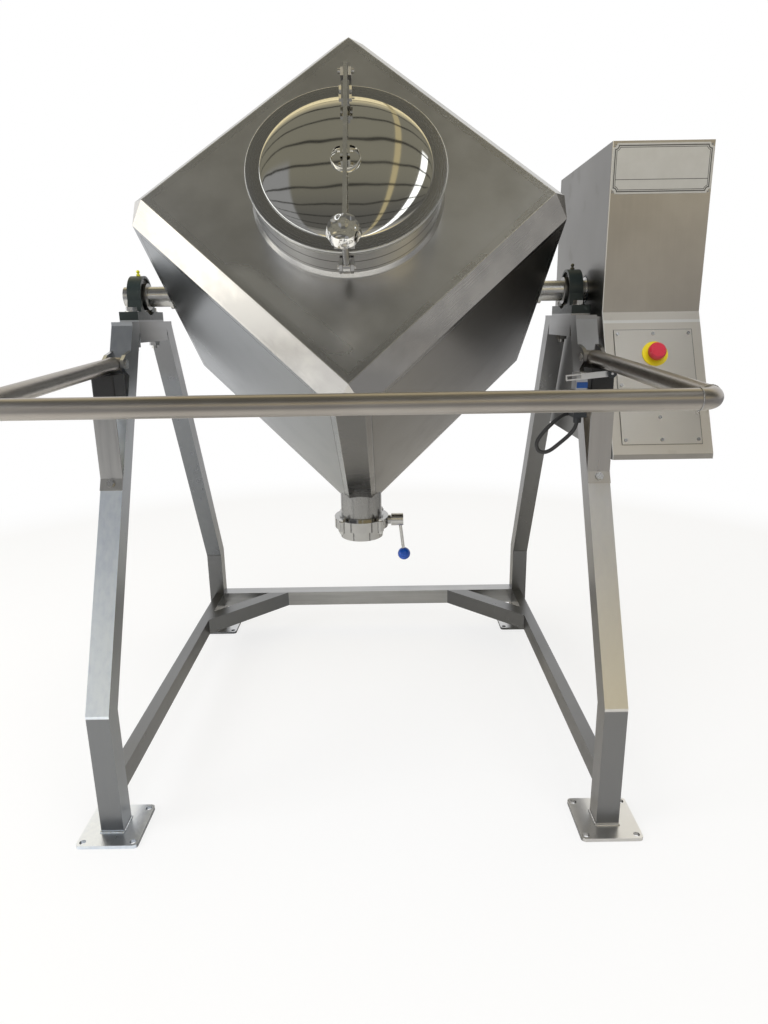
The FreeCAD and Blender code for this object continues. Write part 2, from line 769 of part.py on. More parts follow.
tube_blank = pipe("outlet_blank", outlet_radius, outlet_radius - outlet_wall, valve_top - tube_start, "z",
                  0, 0, -valve_top)
node(cut("outlet_trimmed", tube_blank, inner_volume("drum_space")), "outlet_tube", DRUM)

# manhole neck, hinge ears and clamp lugs stand on the lid face
neck = revolved("neck_turned", [
    (neck_radius - neck_wall, half_cube),
    (neck_radius + weld_foot, half_cube),
    (neck_radius + weld_foot, half_cube + 4),
    (neck_radius, half_cube + 14),
    (neck_radius, half_cube + neck_height - flange_thick),
    (neck_flange, half_cube + neck_height - flange_thick),
    (neck_flange, half_cube + neck_height),
    (neck_radius - neck_wall, half_cube + neck_height),
])
node(neck, "manhole_neck", LID)


def ear(name, side):
    inner = arm_thick / 2 + 1
    x = inner if side > 0 else -inner - ear_thick
    reach = neck_radius + seat_gap
    clear = lid_radius + 1.5
    tip = hinge_out + 13
    top = half_cube + hinge_rise
    plate = padded(f"{name}_plate", "YZ_Plane", [[
        (reach, half_cube + 16),
        (reach, half_cube + neck_height - flange_thick - 2),
        (clear, half_cube + neck_height - flange_thick - 2),
        (clear, top + 7),
        (hinge_out - 4, top + 14),
        (hinge_out + 7, top + 14),
        (tip, top + 6),
        (tip, half_cube + 60),
        (reach + 15, half_cube + 16),
    ]], ear_thick, x=x)
    hole = rod(f"{name}_hole", hinge_pin, ear_thick + 2, "x", x - 1, hinge_out, top)
    return cut(name, plate, hole)


pin_half = arm_thick / 2 + 1 + ear_thick + 6
hinge_bolt = rod("hinge_bolt", hinge_pin, pin_half * 2, "x", -pin_half, hinge_out, half_cube + hinge_rise)
node(group("ear_pair", *[ear(f"hinge_ear_{n}", s) for n, s in SIDES]), "hinge_ears", LID)
node(group("hinge_pin_group", hinge_bolt), "lid_hinge_pin", LID)

clevis_gap = clamp_rod + 2


def clamp_lug(name, side):
    x = clevis_gap if side > 0 else -clevis_gap - lug_thick
    reach = neck_radius + seat_gap
    rise = half_cube + clamp_rise
    plate = padded(f"{name}_plate", "YZ_Plane", [[
        (-reach, rise - 28),
        (-reach, rise + 2),
        (-neck_flange - 2, rise + 2),
        (-neck_flange - 2, rise + 10),
        (-clamp_out - 4, rise + 12),
        (-clamp_out - 12, rise + 4),
        (-clamp_out - 12, rise - 4),
        (-clamp_out, rise - 14),
    ]], lug_thick, x=x)
    hole = rod(f"{name}_hole", hinge_pin, lug_thick + 2, "x", x - 1, -clamp_out, rise)
    return cut(name, plate, hole)


lug_pin_half = clevis_gap + lug_thick + 4
lug_pin = rod("clamp_pin", hinge_pin, lug_pin_half * 2, "x", -lug_pin_half, -clamp_out, half_cube + clamp_rise)
node(group("clamp_lug_group", *[clamp_lug(f"clamp_lug_{n}", s) for n, s in SIDES], lug_pin), "clamp_lugs", LID)


def crown(name, radius, rise, base, limit):
    """A shallow spherical cap of the given rise over the given radius."""
    sphere_radius = (radius * radius + rise * rise) / (rise * 2)
    sphere = ball(f"{name}_sphere", sphere_radius, 0, 0, base + rise - sphere_radius)
    return common(name, sphere, rod(f"{name}_limit", limit, rise + 1, "z", 0, 0, base))


lid_base = half_cube + gasket_top
lid_face = half_cube + lid_top
crown_base = lid_face + step_rise
dome = fuse(
    "lid_outside",
    rod("lid_plate", lid_radius, lid_plate, "z", 0, 0, lid_base),
    cone("lid_step", step_radius, crown_radius, step_rise, lid_face),
    crown("lid_crown", crown_radius, crown_rise, crown_base, crown_radius),
)
hollow = fuse(
    "lid_hollow",
    cone("lid_inner_step", step_radius, crown_radius - 4, step_rise + lid_plate - 4, lid_base),
    crown("lid_inner_crown", crown_radius - 4, crown_rise, crown_base - 4, crown_radius - 4),
)
boss_base = crown_base
boss = pipe("lid_boss", boss_radius, boss_radius - boss_wall, crown_rise + boss_rise, "z", 0, 0, boss_base)
lug_inner = arm_thick / 2 + 0.5
arm_lugs = [box(f"arm_lug_{n}", 5, lug_length, arm_middle + 8 - lid_top - step_rise,
                lug_inner if s > 0 else -lug_inner - 5, -lug_length / 2, boss_base) for n, s in SIDES]
arm_pin_z = half_cube + arm_middle
arm_pin = rod("arm_pin", 4, 30, "x", -15, 0, arm_pin_z)
lid_shell = cut("lid_shell", fuse("lid_whole", dome, boss, *arm_lugs, arm_pin), hollow)
node(lid_shell, "manhole_lid", LID)
gasket = pipe("gasket_ring", neck_flange - 1, neck_radius - neck_wall, gasket_thick, "z", 0, 0,
              half_cube + neck_height)
node(group("gasket_group", gasket), "lid_gasket", LID)

arm_high = half_cube + arm_top
pin_height = half_cube + hinge_rise
fork_inner = clamp_rod + 1


def arm_line(back):
    """Height of the sloping bar's middle at a distance in front of the hinge pin."""
    return half_cube + arm_back + back * arm_slope


arm_half = arm_height / 2
arm_reach = hinge_out + clamp_out - fork_inner - 1
bar = padded("arm_bar", "YZ_Plane", [[
    (hinge_out - arm_reach, arm_line(arm_reach) - arm_half),
    (hinge_out - 30, arm_line(as_size(30)) - arm_half),
    (hinge_out - 14, pin_height - 12),
    (hinge_out + 13, pin_height - 12),
    (hinge_out + 13, pin_height + 8),
    (hinge_out + 2, half_cube + arm_back + arm_half),
    (hinge_out - arm_reach, arm_line(arm_reach) + arm_half),
]], arm_thick, x=-arm_thick / 2)
fork = box("arm_fork", fork_outer * 2, 34, fork_thick, -fork_outer, -clamp_out - 14, arm_high - fork_thick)
fork_slot = box("arm_fork_slot", fork_inner * 2, 15 + fork_inner, arm_height + 10, -fork_inner, -clamp_out - 15,
                arm_high - arm_height - 5)
cheek_bolts = (cheek_bolt_far, cheek_bolt_near)
arm_holes = [
    rod("arm_hinge_hole", hinge_pin + running_gap, arm_thick + 2, "x", -arm_thick / 2 - 1, hinge_out, pin_height),
    rod("arm_lug_hole", 4 + running_gap, arm_thick + 2, "x", -arm_thick / 2 - 1, 0, arm_pin_z),
]
for number, back in enumerate(cheek_bolts):
    arm_holes.append(rod(f"arm_bolt_hole_{number}", 4, arm_thick + 2, "x", -arm_thick / 2 - 1,
                         hinge_out - back, arm_line(back)))
node(bored("lid_arm_cut", fuse("lid_arm_whole", bar, fork), fork_slot, *arm_holes), "lid_arm", LID)


def cheek(name, side):
    x = arm_thick / 2 if side > 0 else -arm_thick / 2 - 4
    near = cheek_bolt_near - 12
    far = cheek_bolt_far + 12
    half = arm_half - 1
    plate = padded(f"{name}_plate", "YZ_Plane", [[
        (hinge_out - near, arm_line(near) - half),
        (hinge_out - near, arm_line(near) + half),
        (hinge_out - far, arm_line(far) + half),
        (hinge_out - far, arm_line(far) - half),
    ]], 4, x=x)
    holes = [rod(f"{name}_hole_{number}", 4, 6, "x", x - 1, hinge_out - back, arm_line(back))
             for number, back in enumerate(cheek_bolts)]
    return bored(name, plate, *holes)


def cheek_bolt(name, back):
    half = arm_thick / 2 + 4
    y = hinge_out - back
    z = arm_line(back)
    stem = rod(f"{name}_stem", 4, half * 2 + 8, "x", -half - 4, y, z)
    head = hexagon(f"{name}_head", as_size(15), 5, "x", half, y, z)
    nut = hexagon(f"{name}_nut", as_size(15), 5, "x", -half - 5, y, z)
    return fuse(name, stem, head, nut)


cheeks = [cheek(f"arm_cheek_{n}", s) for n, s in SIDES]
cheek_fixings = [cheek_bolt(f"cheek_bolt_{number}", back) for number, back in enumerate(cheek_bolts)]
node(group("arm_cheek_group", *cheeks, *cheek_fixings), "arm_cheeks", LID)

washer_thick = size("knob_washer_thickness", 4)
knob_base = arm_high + washer_thick
eye_height = half_cube + clamp_rise
eye = rod("swing_eye", clamp_eye, clamp_rod * 2 + 2, "x", -clamp_rod - 1, -clamp_out, eye_height)
shank = rod("swing_shank", clamp_rod, knob_base - eye_height + 18, "z", 0, -clamp_out, eye_height)
knob_washer = pipe("knob_washer", clamp_rod + 8, clamp_rod + running_gap, washer_thick, "z", 0, -clamp_out,
                   arm_high + seat_gap)
eye_hole = rod("swing_eye_hole", hinge_pin + running_gap, clamp_rod * 2 + 4, "x", -clamp_rod - 2, -clamp_out, eye_height)
node(group("swing_bolt_group", cut("swing_bolt_cut", fuse("swing_bolt_solid", eye, shank), eye_hole)),
     "swing_bolt", LID)


def hand_knob():
    """A six-lobed knob: scallops cut from a tapered cup with a blind bore."""
    x = 0
    base = knob_base + seat_gap
    skirt = cone("knob_skirt", knob_radius * 0.8, knob_radius, knob_height * 0.4)
    skirt.setExpression("Placement.Base.z", None)
    bind(skirt, y=-clamp_out, z=base)
    rim = cone("knob_rim", knob_radius, knob_radius * 0.86, knob_height * 0.6)
    bind(rim, y=-clamp_out, z=base + knob_height * 0.4)
    scallops = []
    for index in range(6):
        angle = math.radians(30 + 60 * index)
        scallops.append(rod(f"knob_scallop_{index}", knob_radius * 0.42, knob_height + 2, "z",
                            x + knob_radius * 1.22 * math.cos(angle),
                            -clamp_out + knob_radius * 1.22 * math.sin(angle), base - 1))
    bore = rod("knob_bore", clamp_rod + running_gap, 20, "z", 0, -clamp_out, base - 1)
    return bored("knob_cut", fuse("knob_solid", skirt, rim), bore, *scallops)


node(group("knob_group", hand_knob(), knob_washer), "clamp_knob", LID)


# butterfly valve under the outlet
def lobes(name, radius, bottom, height):
    items = []
    for index in range(4):
        angle = math.radians(45 + 90 * index)
        items.append(rod(f"{name}_{index}", radius, height, "z",
                         lobe_circle * math.cos(angle), lobe_circle * math.sin(angle), bottom))
    return items


half_flange = flange_height / 2
upper = fuse(
    "valve_upper_solid",
    rod("valve_upper_barrel", valve_radius, valve_height / 2, "z", 0, 0, -valve_middle),
    rod("valve_upper_flange", valve_flange, half_flange, "z", 0, 0, -valve_middle),
    *lobes("valve_upper_lobe", lobe_radius, -valve_middle, half_flange),
)
lower = fuse(
    "valve_lower_solid",
    rod("valve_lower_barrel", valve_radius, valve_height / 2, "z", 0, 0, -valve_bottom),
    rod("valve_lower_flange", valve_flange, half_flange, "z", 0, 0, -valve_middle - half_flange),
    rod("valve_lower_end", outlet_radius + 3, weld_end, "z", 0, 0, -valve_bottom - weld_end),
    *lobes("valve_lower_lobe", lobe_radius, -valve_middle - half_flange, half_flange),
)
boss_reach = barrel_start - 1
stem_boss = rod("valve_stem_boss", stem_radius + 5, boss_reach, "x", 0, 0, -valve_middle)
seat_recess = rod("valve_seat_recess", valve_bore + seat_wall, flange_height, "z", 0, 0, -valve_middle - half_flange)


def valve_half(name, solid, above):
    """One half of the split body: the split is at the stem's centre line."""
    depth = valve_height + weld_end
    start = -valve_middle if above else -valve_middle - depth
    slab = box(f"{name}_slab", valve_flange * 4, valve_flange * 4, depth, -valve_flange * 2, -valve_flange * 2, start)
    boss = common(f"{name}_boss", stem_boss, slab)
    whole = fuse(f"{name}_whole", solid, boss)
    bore = rod(f"{name}_bore", valve_bore, depth * 2, "z", 0, 0, -valve_middle - depth)
    stem_hole = rod(f"{name}_stem_hole", stem_radius + running_gap, valve_flange * 3, "x",
                    -valve_radius + 4, 0, -valve_middle)
    bolt_holes = lobes(f"{name}_bolt_hole", valve_bolt_radius, start - 1, depth + 2)
    return bored(name, whole, bore, seat_recess, stem_hole, *bolt_holes)


node(group("valve_body_pair", valve_half("valve_upper", upper, True), valve_half("valve_lower", lower, False)),
     "valve_body", DRUM)


def valve_bolt(name, index):
    angle = math.radians(45 + 90 * index)
    x = lobe_circle * math.cos(angle)
    y = lobe_circle * math.sin(angle)
    stem = rod(f"{name}_stem", valve_bolt_radius, flange_height + 16, "z", x, y, -valve_middle - half_flange - 10)
    head = hexagon(f"{name}_head", as_size(15), 6, "z", x, y, -valve_middle + half_flange)
    nut = hexagon(f"{name}_nut", as_size(15), 7, "z", x, y, -valve_middle - half_flange - 7)
    return fuse(name, stem, head, nut)


node(group("valve_bolt_four", *[valve_bolt(f"valve_bolt_{index}", index) for index in range(4)]),
     "valve_bolts", DRUM)
seat_ring = pipe("valve_seat_ring", valve_bore + seat_wall, valve_bore, flange_height, "z", 0, 0,
                 -valve_middle - half_flange)
seat_stem_hole = rod("valve_seat_stem_hole", stem_radius + running_gap, valve_flange * 4, "x",
                     -valve_flange * 2, 0, -valve_middle)
node(cut("valve_seat_cut", seat_ring, seat_stem_hole), "valve_seat", DRUM)

disc_radius = valve_bore - seat_gap
disc = rod("disc_plate", disc_radius, disc_thick, "y", 0, -disc_thick / 2, -valve_middle)
hub = rod("disc_hub", stem_radius + 2, disc_radius * 1.86, "x", -disc_radius * 0.93, 0, -valve_middle)
stem = rod("disc_stem", stem_radius, valve_radius - 5 + barrel_end - 6, "x", -valve_radius + 5, 0, -valve_middle)
node(fuse("valve_disc_solid", disc, hub, stem), "valve_disc", DRUM)

barrel = rod("lever_barrel", barrel_radius, barrel_end - barrel_start, "x", barrel_start, 0, -valve_middle)
barrel_bore = rod("lever_barrel_bore", stem_radius, barrel_end - 6 - barrel_start, "x", barrel_start, 0, -valve_middle)
lever_top_x = barrel_end - 10
ball_x = barrel_end + 2
lean = math.degrees(math.atan2(float(ball_x - lever_top_x), float(lever_drop)))
lever_arm = rod("lever_arm", lever_rod, lever_drop, "z", lever_top_x, 0, -valve_middle)
lever_arm.Placement.Rotation = FreeCAD.Rotation(Y_AXIS, 180 - lean)
lever_whole = fuse("lever_whole", barrel, lever_arm)
node(cut("valve_lever_cut", lever_whole, barrel_bore), "valve_lever", DRUM)
knob_ball = ball("lever_knob", ball_radius, ball_x, 0, -valve_middle - lever_drop)
knob_hole = rod("lever_knob_hole", lever_rod, lever_drop, "z", lever_top_x, 0, -valve_middle)
knob_hole.Placement.Rotation = FreeCAD.Rotation(Y_AXIS, 180 - lean)
node(cut("lever_ball_cut", knob_ball, knob_hole), "lever_ball", DRUM)


# guard rail: a U of round tube, hinged on lugs on the front legs, its arms splayed a little
splay_sine = sine(guard_splay)
splay_cosine = cosine(guard_splay)
arm_reach = (guard_length - guard_bend - guard_bend * splay_sine) / splay_cosine
bend_x = guard_x + arm_reach * splay_sine - guard_bend * splay_cosine


def guard_solid(name, radius, trim):
    """The U as one solid of the given tube radius, its two ends shortened by trim."""
    start = guard_pin + 8 + trim
    parts = []
    for side_name, side in SIDES:
        arm = rod(f"{name}_arm_{side_name}", radius, arm_reach - start, "y",
                  side * (guard_x + arm_reach * splay_sine), -arm_reach * splay_cosine, 0)
        turn = FreeCAD.Rotation(Z_AXIS, side * float(guard_splay))
        arm.Placement.Rotation = turn.multiply(TURNS["y"])
        bend = doc.addObject("Part::Torus", f"{name}_bend_{side_name}")
        bind(bend, Radius1=guard_bend, Radius2=radius, Angle3=guard_splay + 90, x=side * bend_x,
             y=-(guard_length - guard_bend))
        bend.Placement.Rotation = FreeCAD.Rotation(Z_AXIS, 270 if side > 0 else 180 - float(guard_splay))
        parts.append(arm)
        parts.append(bend)
    parts.append(rod(f"{name}_front", radius, bend_x * 2, "x", -bend_x, -guard_length, 0))
    return fuse(name, *parts)


guard_tubes = cut("guard_tubes", guard_solid("guard_outer", guard_tube, 0),
                  guard_solid("guard_inner", guard_tube - guard_wall, guard_wall))
sleeve_half = guard_tube - 0.5
sleeves = [rod(f"guard_sleeve_{n}", guard_pin + 9, sleeve_half * 2, "x", s * guard_x - sleeve_half, 0, 0)
           for n, s in SIDES]
pin_bores = [rod(f"guard_bore_{n}", guard_pin + running_gap, sleeve_half * 2 + 2, "x",
                 s * guard_x - sleeve_half - 1, 0, 0) for n, s in SIDES]
node(bored("guard_rail_cut", fuse("guard_whole", guard_tubes, *sleeves), *pin_bores), "guard_rail", GUARD)


def guard_lug_plate(name, x):
    plate = padded(f"{name}_plate", "YZ_Plane", [[
        (leg_face(pivot_z + lug_rise), pivot_z + lug_rise),
        (pivot_y + 4, pivot_z + lug_rise - 7),
        (pivot_y - lug_reach, pivot_z + 9),
        (pivot_y - lug_reach, pivot_z - 9),
        (pivot_y - 2, pivot_z - lug_rise + 8),
        (leg_face(pivot_z - lug_rise), pivot_z - lug_rise),
    ]], guard_lug, x=x)
    hole = rod(f"{name}_hole", guard_pin, guard_lug + 2, "x", x - 1, pivot_y, pivot_z)
    return cut(name, plate, hole)


lugs = []
pins = []
for side_name, side in SIDES:
    inner_x = side * leg_inner if side > 0 else -leg_inner - guard_lug
    outer_x = leg_outer - guard_lug if side > 0 else -leg_outer
    lugs.append(guard_lug_plate(f"guard_lug_{side_name}_inner", inner_x))
    lugs.append(guard_lug_plate(f"guard_lug_{side_name}_outer", outer_x))
    start = side * leg_x - half_tube - 3
    pin_bar = rod(f"guard_pin_{side_name}_bar", guard_pin, leg_tube + 5, "x", start, pivot_y, pivot_z)
    pin_head = rod(f"guard_pin_{side_name}_head", guard_pin + 4, 3, "x",
                   start if side > 0 else side * leg_x + half_tube, pivot_y, pivot_z)
    pins.append(fuse(f"guard_pin_{side_name}", pin_bar, pin_head))
node(group("guard_lug_four", *lugs), "guard_lugs")
node(group("guard_pin_pair", *pins), "guard_pins")


def buffer_bracket(name, side):
    """A strip bolted to the leg, folded up to a shelf that comes back to the leg."""
    riser = leg_face(strip_fold)
    return padded(name, "YZ_Plane", [[
        (leg_face(strip_foot), strip_foot),
        (leg_face(strip_fold), strip_fold),
        (riser, shelf_z - strip_thick),
        (leg_face(shelf_z - strip_thick), shelf_z - strip_thick),
        (leg_face(shelf_z), shelf_z),
        (riser - strip_skew, shelf_z),
        (riser - strip_skew, strip_fold),
        (leg_face(strip_foot) - strip_skew, strip_foot),
    ]], leg_tube, x=side * leg_x - half_tube)


buffer_top = pivot_z - (guard_tube + seat_gap) - (pivot_y - buffer_front) * math.tan(math.radians(float(guard_slope)))


def rubber_buffer(name, side):
    block = box(f"{name}_block", leg_tube, buffer_depth, buffer_top - shelf_z - 0.2,
                side * leg_x - half_tube, buffer_front, shelf_z)
    doc.recompute()
    rounded = doc.addObject("Part::Fillet", name)
    rounded.Base = block
    rounded.Edges = [(edge, 4.0, 4.0) for edge in upright_edges(block)]
    return rounded


def bracket_bolt(name, side):
    """A hexagon head bolt square to the sloping face of the leg."""
    middle = (strip_foot + strip_fold) / 2
    angle = math.degrees(math.atan(float(leg_lean)))
    head = hexagon(f"{name}_head", as_size(17), 6, "y", 0, -strip_thick - 6, 0)
    washer = rod(f"{name}_washer", 9.5, 1.5, "y", 0, -strip_thick - 1.5, 0)
    item = fuse(name, head, washer)
    item.Placement = FreeCAD.Placement(
        FreeCAD.Vector(float(side * leg_x), float(leg_face(middle)), float(middle)),
        FreeCAD.Rotation(X_AXIS, -angle))
    return item


node(group("bracket_pair", *[buffer_bracket(f"buffer_bracket_{n}", s) for n, s in SIDES]), "buffer_brackets")
node(group("buffer_pair", *[rubber_buffer(f"rubber_buffer_{n}", s) for n, s in SIDES]), "rubber_buffers")
node(group("bracket_bolt_pair", *[bracket_bolt(f"bracket_bolt_{n}", s) for n, s in SIDES]), "bracket_bolts")

# limit switch beside the right buffer
switch_top = switch_bottom + switch_height
switch_back = switch_front + switch_depth
plate_bottom = size("switch_plate_bottom", 898)
mount_thick = size("switch_plate_thickness", 4)
mount_plate = padded("switch_mount", "YZ_Plane", [[
    (switch_front, plate_bottom),
    (leg_face(plate_bottom) + 24, plate_bottom),
    (leg_face(switch_top) + 24, switch_top),
    (switch_front, switch_top),
]], mount_thick, x=leg_inner - mount_thick)
node(mount_plate, "switch_plate")
switch_body = fuse(
    "switch_solid",
    box("switch_case", switch_width, switch_depth, switch_height, switch_x - switch_width, switch_front, switch_bottom),
    box("switch_turret", switch_width - 4, switch_depth - 8, switch_head, switch_x - switch_width + 2,
        switch_front + 2, switch_top),
    *[rod(f"switch_spacer_{index}", 4, leg_inner - mount_thick - switch_x, "x", switch_x,
          switch_front + switch_depth - 10, height)
      for index, height in enumerate((switch_bottom + 24, switch_top - 10))],
)
node(group("switch_group", switch_body), "limit_switch")

gland_x = switch_x - switch_width / 2
gland_y = switch_front + switch_depth / 2
grommet_y = size("grommet_y", -250)
grommet_z = size("grommet_height", 884)
gland_length = 14
gland = pipe("gland_body", cable_radius + 4.5, cable_radius + 0.2, gland_length, "z", gland_x, gland_y,
             switch_bottom - gland_length)
grommet = pipe("grommet_body", cable_radius + 4, cable_radius + 0.2, 5, "x", leg_inner - 5, grommet_y, grommet_z)
node(group("gland_pair", gland, grommet), "cable_glands")

# The cable's route, from the gland down round its loop and back to the grommet in the leg.
CABLE_ROUTE = [
    (501.5, -312.5, 884.9),
    (501.5, -312.5, 866),
    (490, -311, 846),
    (466, -309, 824),
    (441, -307, 803),
    (420, -305, 803),
    (412, -303, 822),
    (426, -299, 844),
    (450, -291, 866),
    (477, -273, 883),
    (503, -250, 884),
    (525.9, -250, 884),
]


def rounded_path(points):
    """Straight runs joined by tangent arcs, each as large as its two runs allow."""
    edges = []
    start = points[0]
    for before, corner, after in zip(points, points[1:], points[2:]):
        toward = before - corner
        away = after - corner
        turn = math.pi - toward.getAngle(away)
        trim = 0.45 * min(toward.Length, away.Length)
        print("cable arc radius", round(trim / math.tan(turn / 2), 1))
        enter = corner + FreeCAD.Vector(toward).normalize() * trim
        leave = corner + FreeCAD.Vector(away).normalize() * trim
        bisector = (FreeCAD.Vector(toward).normalize() + FreeCAD.Vector(away).normalize()).normalize()
        radius = trim / math.tan(turn / 2)
        centre = corner + bisector * (radius / math.cos(turn / 2))
        middle = centre - bisector * radius
        edges.append(Part.LineSegment(start, enter).toShape())
        edges.append(Part.Arc(enter, middle, leave).toShape())
        start = leave
    edges.append(Part.LineSegment(start, points[-1]).toShape())
    return Part.Wire(edges)


route = rounded_path([FreeCAD.Vector(*point) for point in CABLE_ROUTE])
section = Part.Wire(Part.makeCircle(float(cable_radius), route.Vertexes[0].Point, FreeCAD.Vector(0, 0, -1)))
cable_solid = route.makePipeShell([section], True, False)
expected = math.pi * float(cable_radius) ** 2 * route.Length
print("cable length", round(route.Length, 1), "volume ratio", round(cable_solid.Volume / expected, 4))
cable = doc.addObject("Part::Feature", "cable_tube")
cable.Shape = cable_solid
node(cable, "switch_cable")


def switch_lever():
    """A slotted lever on the switch head, reaching under the guard arm with a roller."""
    y = switch_front - 10
    shape = rod("lever_pivot", 7, 12 - seat_gap, "y", lever_pivot_x, y, lever_pivot_z)
    angle = math.degrees(math.atan2(float(roller_z - lever_pivot_z), float(roller_x - lever_pivot_x)))
    tail = float(lever_tail)
    length = math.hypot(float(roller_z - lever_pivot_z), float(roller_x - lever_pivot_x))
    bar_solid = box("lever_bar", length + tail + 5, 3, 13)
    slot = box("lever_slot", tail - 9, 5, 7)
    bar_solid.Placement = FreeCAD.Placement(FreeCAD.Vector(-tail, 0, -6.5), FreeCAD.Rotation())
    slot.Placement = FreeCAD.Placement(FreeCAD.Vector(-tail + 3, -1, -3.5), FreeCAD.Rotation())
    for item in (bar_solid, slot):
        for place in ("x", "y", "z"):
            item.setExpression(f"Placement.Base.{place}", None)
    slotted = cut("lever_slotted", bar_solid, slot)
    slotted.Placement = FreeCAD.Placement(
        FreeCAD.Vector(float(lever_pivot_x), float(y), float(lever_pivot_z)), FreeCAD.Rotation(Y_AXIS, -angle))
    axle = rod("roller_axle", 2.5, 12, "y", roller_x, y - 9, roller_z)
    return fuse("switch_lever_solid", shape, slotted, axle)


arm_drop = (pivot_y - switch_front + 16) * math.tan(math.radians(float(guard_slope)))
touch = guard_tube + roller_radius + seat_gap
reach_across = roller_x - guard_x - (pivot_y - switch_front + 16) * splay_sine
roller_z = pivot_z - arm_drop - math.sqrt(float(touch) ** 2 - float(reach_across) ** 2)
node(group("switch_lever_group", switch_lever()), "switch_lever")
roller = pipe("roller_wheel", roller_radius, as_size(2.5) + running_gap, 8, "y", roller_x, switch_front - 18.5, roller_z)
node(group("roller_group", roller), "switch_roller")

# drive cabinet outside the right frame
cabinet_outline = [
    (cabinet_front, cabinet_top),
    (cabinet_front, ledge_top),
    (panel_top_y, panel_top),
    (panel_low_y, panel_low),
    (panel_low_y, cabinet_bottom),
    (cabinet_back, cabinet_bottom),
    (cabinet_back, cabinet_top),
]
cabinet_inside = [
    (cabinet_front + sheet_metal, cabinet_top - sheet_metal),
    (cabinet_front + sheet_metal, ledge_top),
    (panel_top_y + sheet_metal * 1.1, panel_top),
    (panel_low_y + sheet_metal * 1.1, panel_low),
    (panel_low_y + sheet_metal * 1.1, cabinet_bottom + sheet_metal),
    (cabinet_back - sheet_metal, cabinet_bottom + sheet_metal),
    (cabinet_back - sheet_metal, cabinet_top - sheet_metal),
]
node(padded("cabinet_wrapper", "YZ_Plane", [cabinet_outline, cabinet_inside],
            cabinet_width - sheet_metal * 2, x=cabinet_x + sheet_metal), "cabinet_wrap")
inner_wall = padded("cabinet_inner_sheet", "YZ_Plane", [cabinet_outline], sheet_metal, x=cabinet_x)
shaft_opening = rod("cabinet_shaft_opening", sleeve_radius + 4, sheet_metal + 2, "x", cabinet_x - 1, 0, axis_z)
node(cut("cabinet_inner_cut", inner_wall, shaft_opening), "cabinet_inner_wall")
node(padded("cabinet_outer_sheet", "YZ_Plane", [cabinet_outline], sheet_metal,
            x=cabinet_x + cabinet_width - sheet_metal), "cabinet_outer_wall")


def mount_bar(name, low, y, height):
    return box(name, cabinet_x - leg_outer, leg_tube * 0.8, height, leg_outer, y, low)


bar_height = size("cabinet_mount_height", 46)
mounts = [
    mount_bar("cabinet_mount_front", frame_top - leg_tube, -top_y - leg_tube * 0.4, bar_height),
    mount_bar("cabinet_mount_rear", frame_top - leg_tube, top_y - leg_tube * 0.4, bar_height),
]
node(group("cabinet_mount_pair", *mounts), "cabinet_mounts")

cover_width = cabinet_width - cover_inset * 2
screw_side = 9
screw_end = 11
left_column = cover_inset + screw_side
right_column = cabinet_width - cover_inset - screw_side
middle_column = cabinet_width / 2
top_row = cover_top + screw_end
low_row = cover_top + cover_height - screw_end
middle_row = cover_top + cover_height * 0.49
extra_row = cover_top + cover_height * 0.77
SCREW_PLACES = [
    (left_column, top_row), (middle_column, top_row), (right_column, top_row),
    (left_column, middle_row), (middle_column, middle_row), (right_column, middle_row),
    (middle_column, extra_row),
    (left_column, low_row), (middle_column, low_row), (right_column, low_row),
]
cover_sheet = box("cover_sheet", cover_width, sheet_metal, cover_height, cover_inset, -sheet_metal,
                  -cover_top - cover_height)
cover_holes = [rod(f"cover_hole_{index}", 2.1, sheet_metal + 2, "y", x, -sheet_metal - 1, -down)
               for index, (x, down) in enumerate(SCREW_PLACES)]
stop_hole = rod("cover_stop_hole", 11, sheet_metal + 2, "y", stop_x, -sheet_metal - 1, -stop_down)
node(bored("panel_cover_cut", cover_sheet, stop_hole, *cover_holes), "panel_cover", PANEL)


def cover_screw(name, x, down):
    shank_part = rod(f"{name}_shank", 2, sheet_metal, "y", x, -sheet_metal, -down)
    head = rod(f"{name}_head", 4, 2.4, "y", x, -sheet_metal - 2.4, -down)
    return fuse(name, shank_part, head)


screws = [cover_screw(f"cover_screw_{index}", x, down) for index, (x, down) in enumerate(SCREW_PLACES)]
node(group("cover_screw_set", *screws), "cover_screws", PANEL)

disc_face = sheet_metal + 2
stop_bezel = size("stop_bezel_height", 3)
bezel_face = disc_face + stop_bezel
stem_bore = 10.2
stop_plate = fuse(
    "stop_plate",
    rod("stop_disc_plate", stop_disc, 2, "y", stop_x, -disc_face, -stop_down),
    rod("stop_bezel", 14.5, stop_bezel, "y", stop_x, -bezel_face, -stop_down),
)
stop_bore = rod("stop_bore", stem_bore, bezel_face * 2, "y", stop_x, -bezel_face * 2 + sheet_metal, -stop_down)
node(cut("stop_disc_cut", stop_plate, stop_bore), "emergency_stop_disc", PANEL)

stop_travel = size("stop_travel", 4)
cap_base = bezel_face + stop_travel + 1
cap_height = size("stop_cap_height", 14)
cap_side = rod("stop_cap_side", stop_button, cap_height - 4, "y", stop_x, -cap_base - cap_height + 4, -stop_down)
cap_top = doc.addObject("Part::Cone", "stop_cap_top")
cap_top.Placement.Rotation = FreeCAD.Rotation(X_AXIS, 90)
bind(cap_top, Radius1=stop_button, Radius2=stop_button - 4, Height=4, x=stop_x, y=-cap_base - cap_height + 4,
     z=-stop_down)
stem_length = cap_base - stop_travel - seat_gap
cap_stem = rod("stop_cap_stem", stem_bore - running_gap, stem_length, "y", stop_x, -cap_base, -stop_down)
node(fuse("stop_button_solid", cap_side, cap_top, cap_stem), "emergency_stop_button", PANEL)

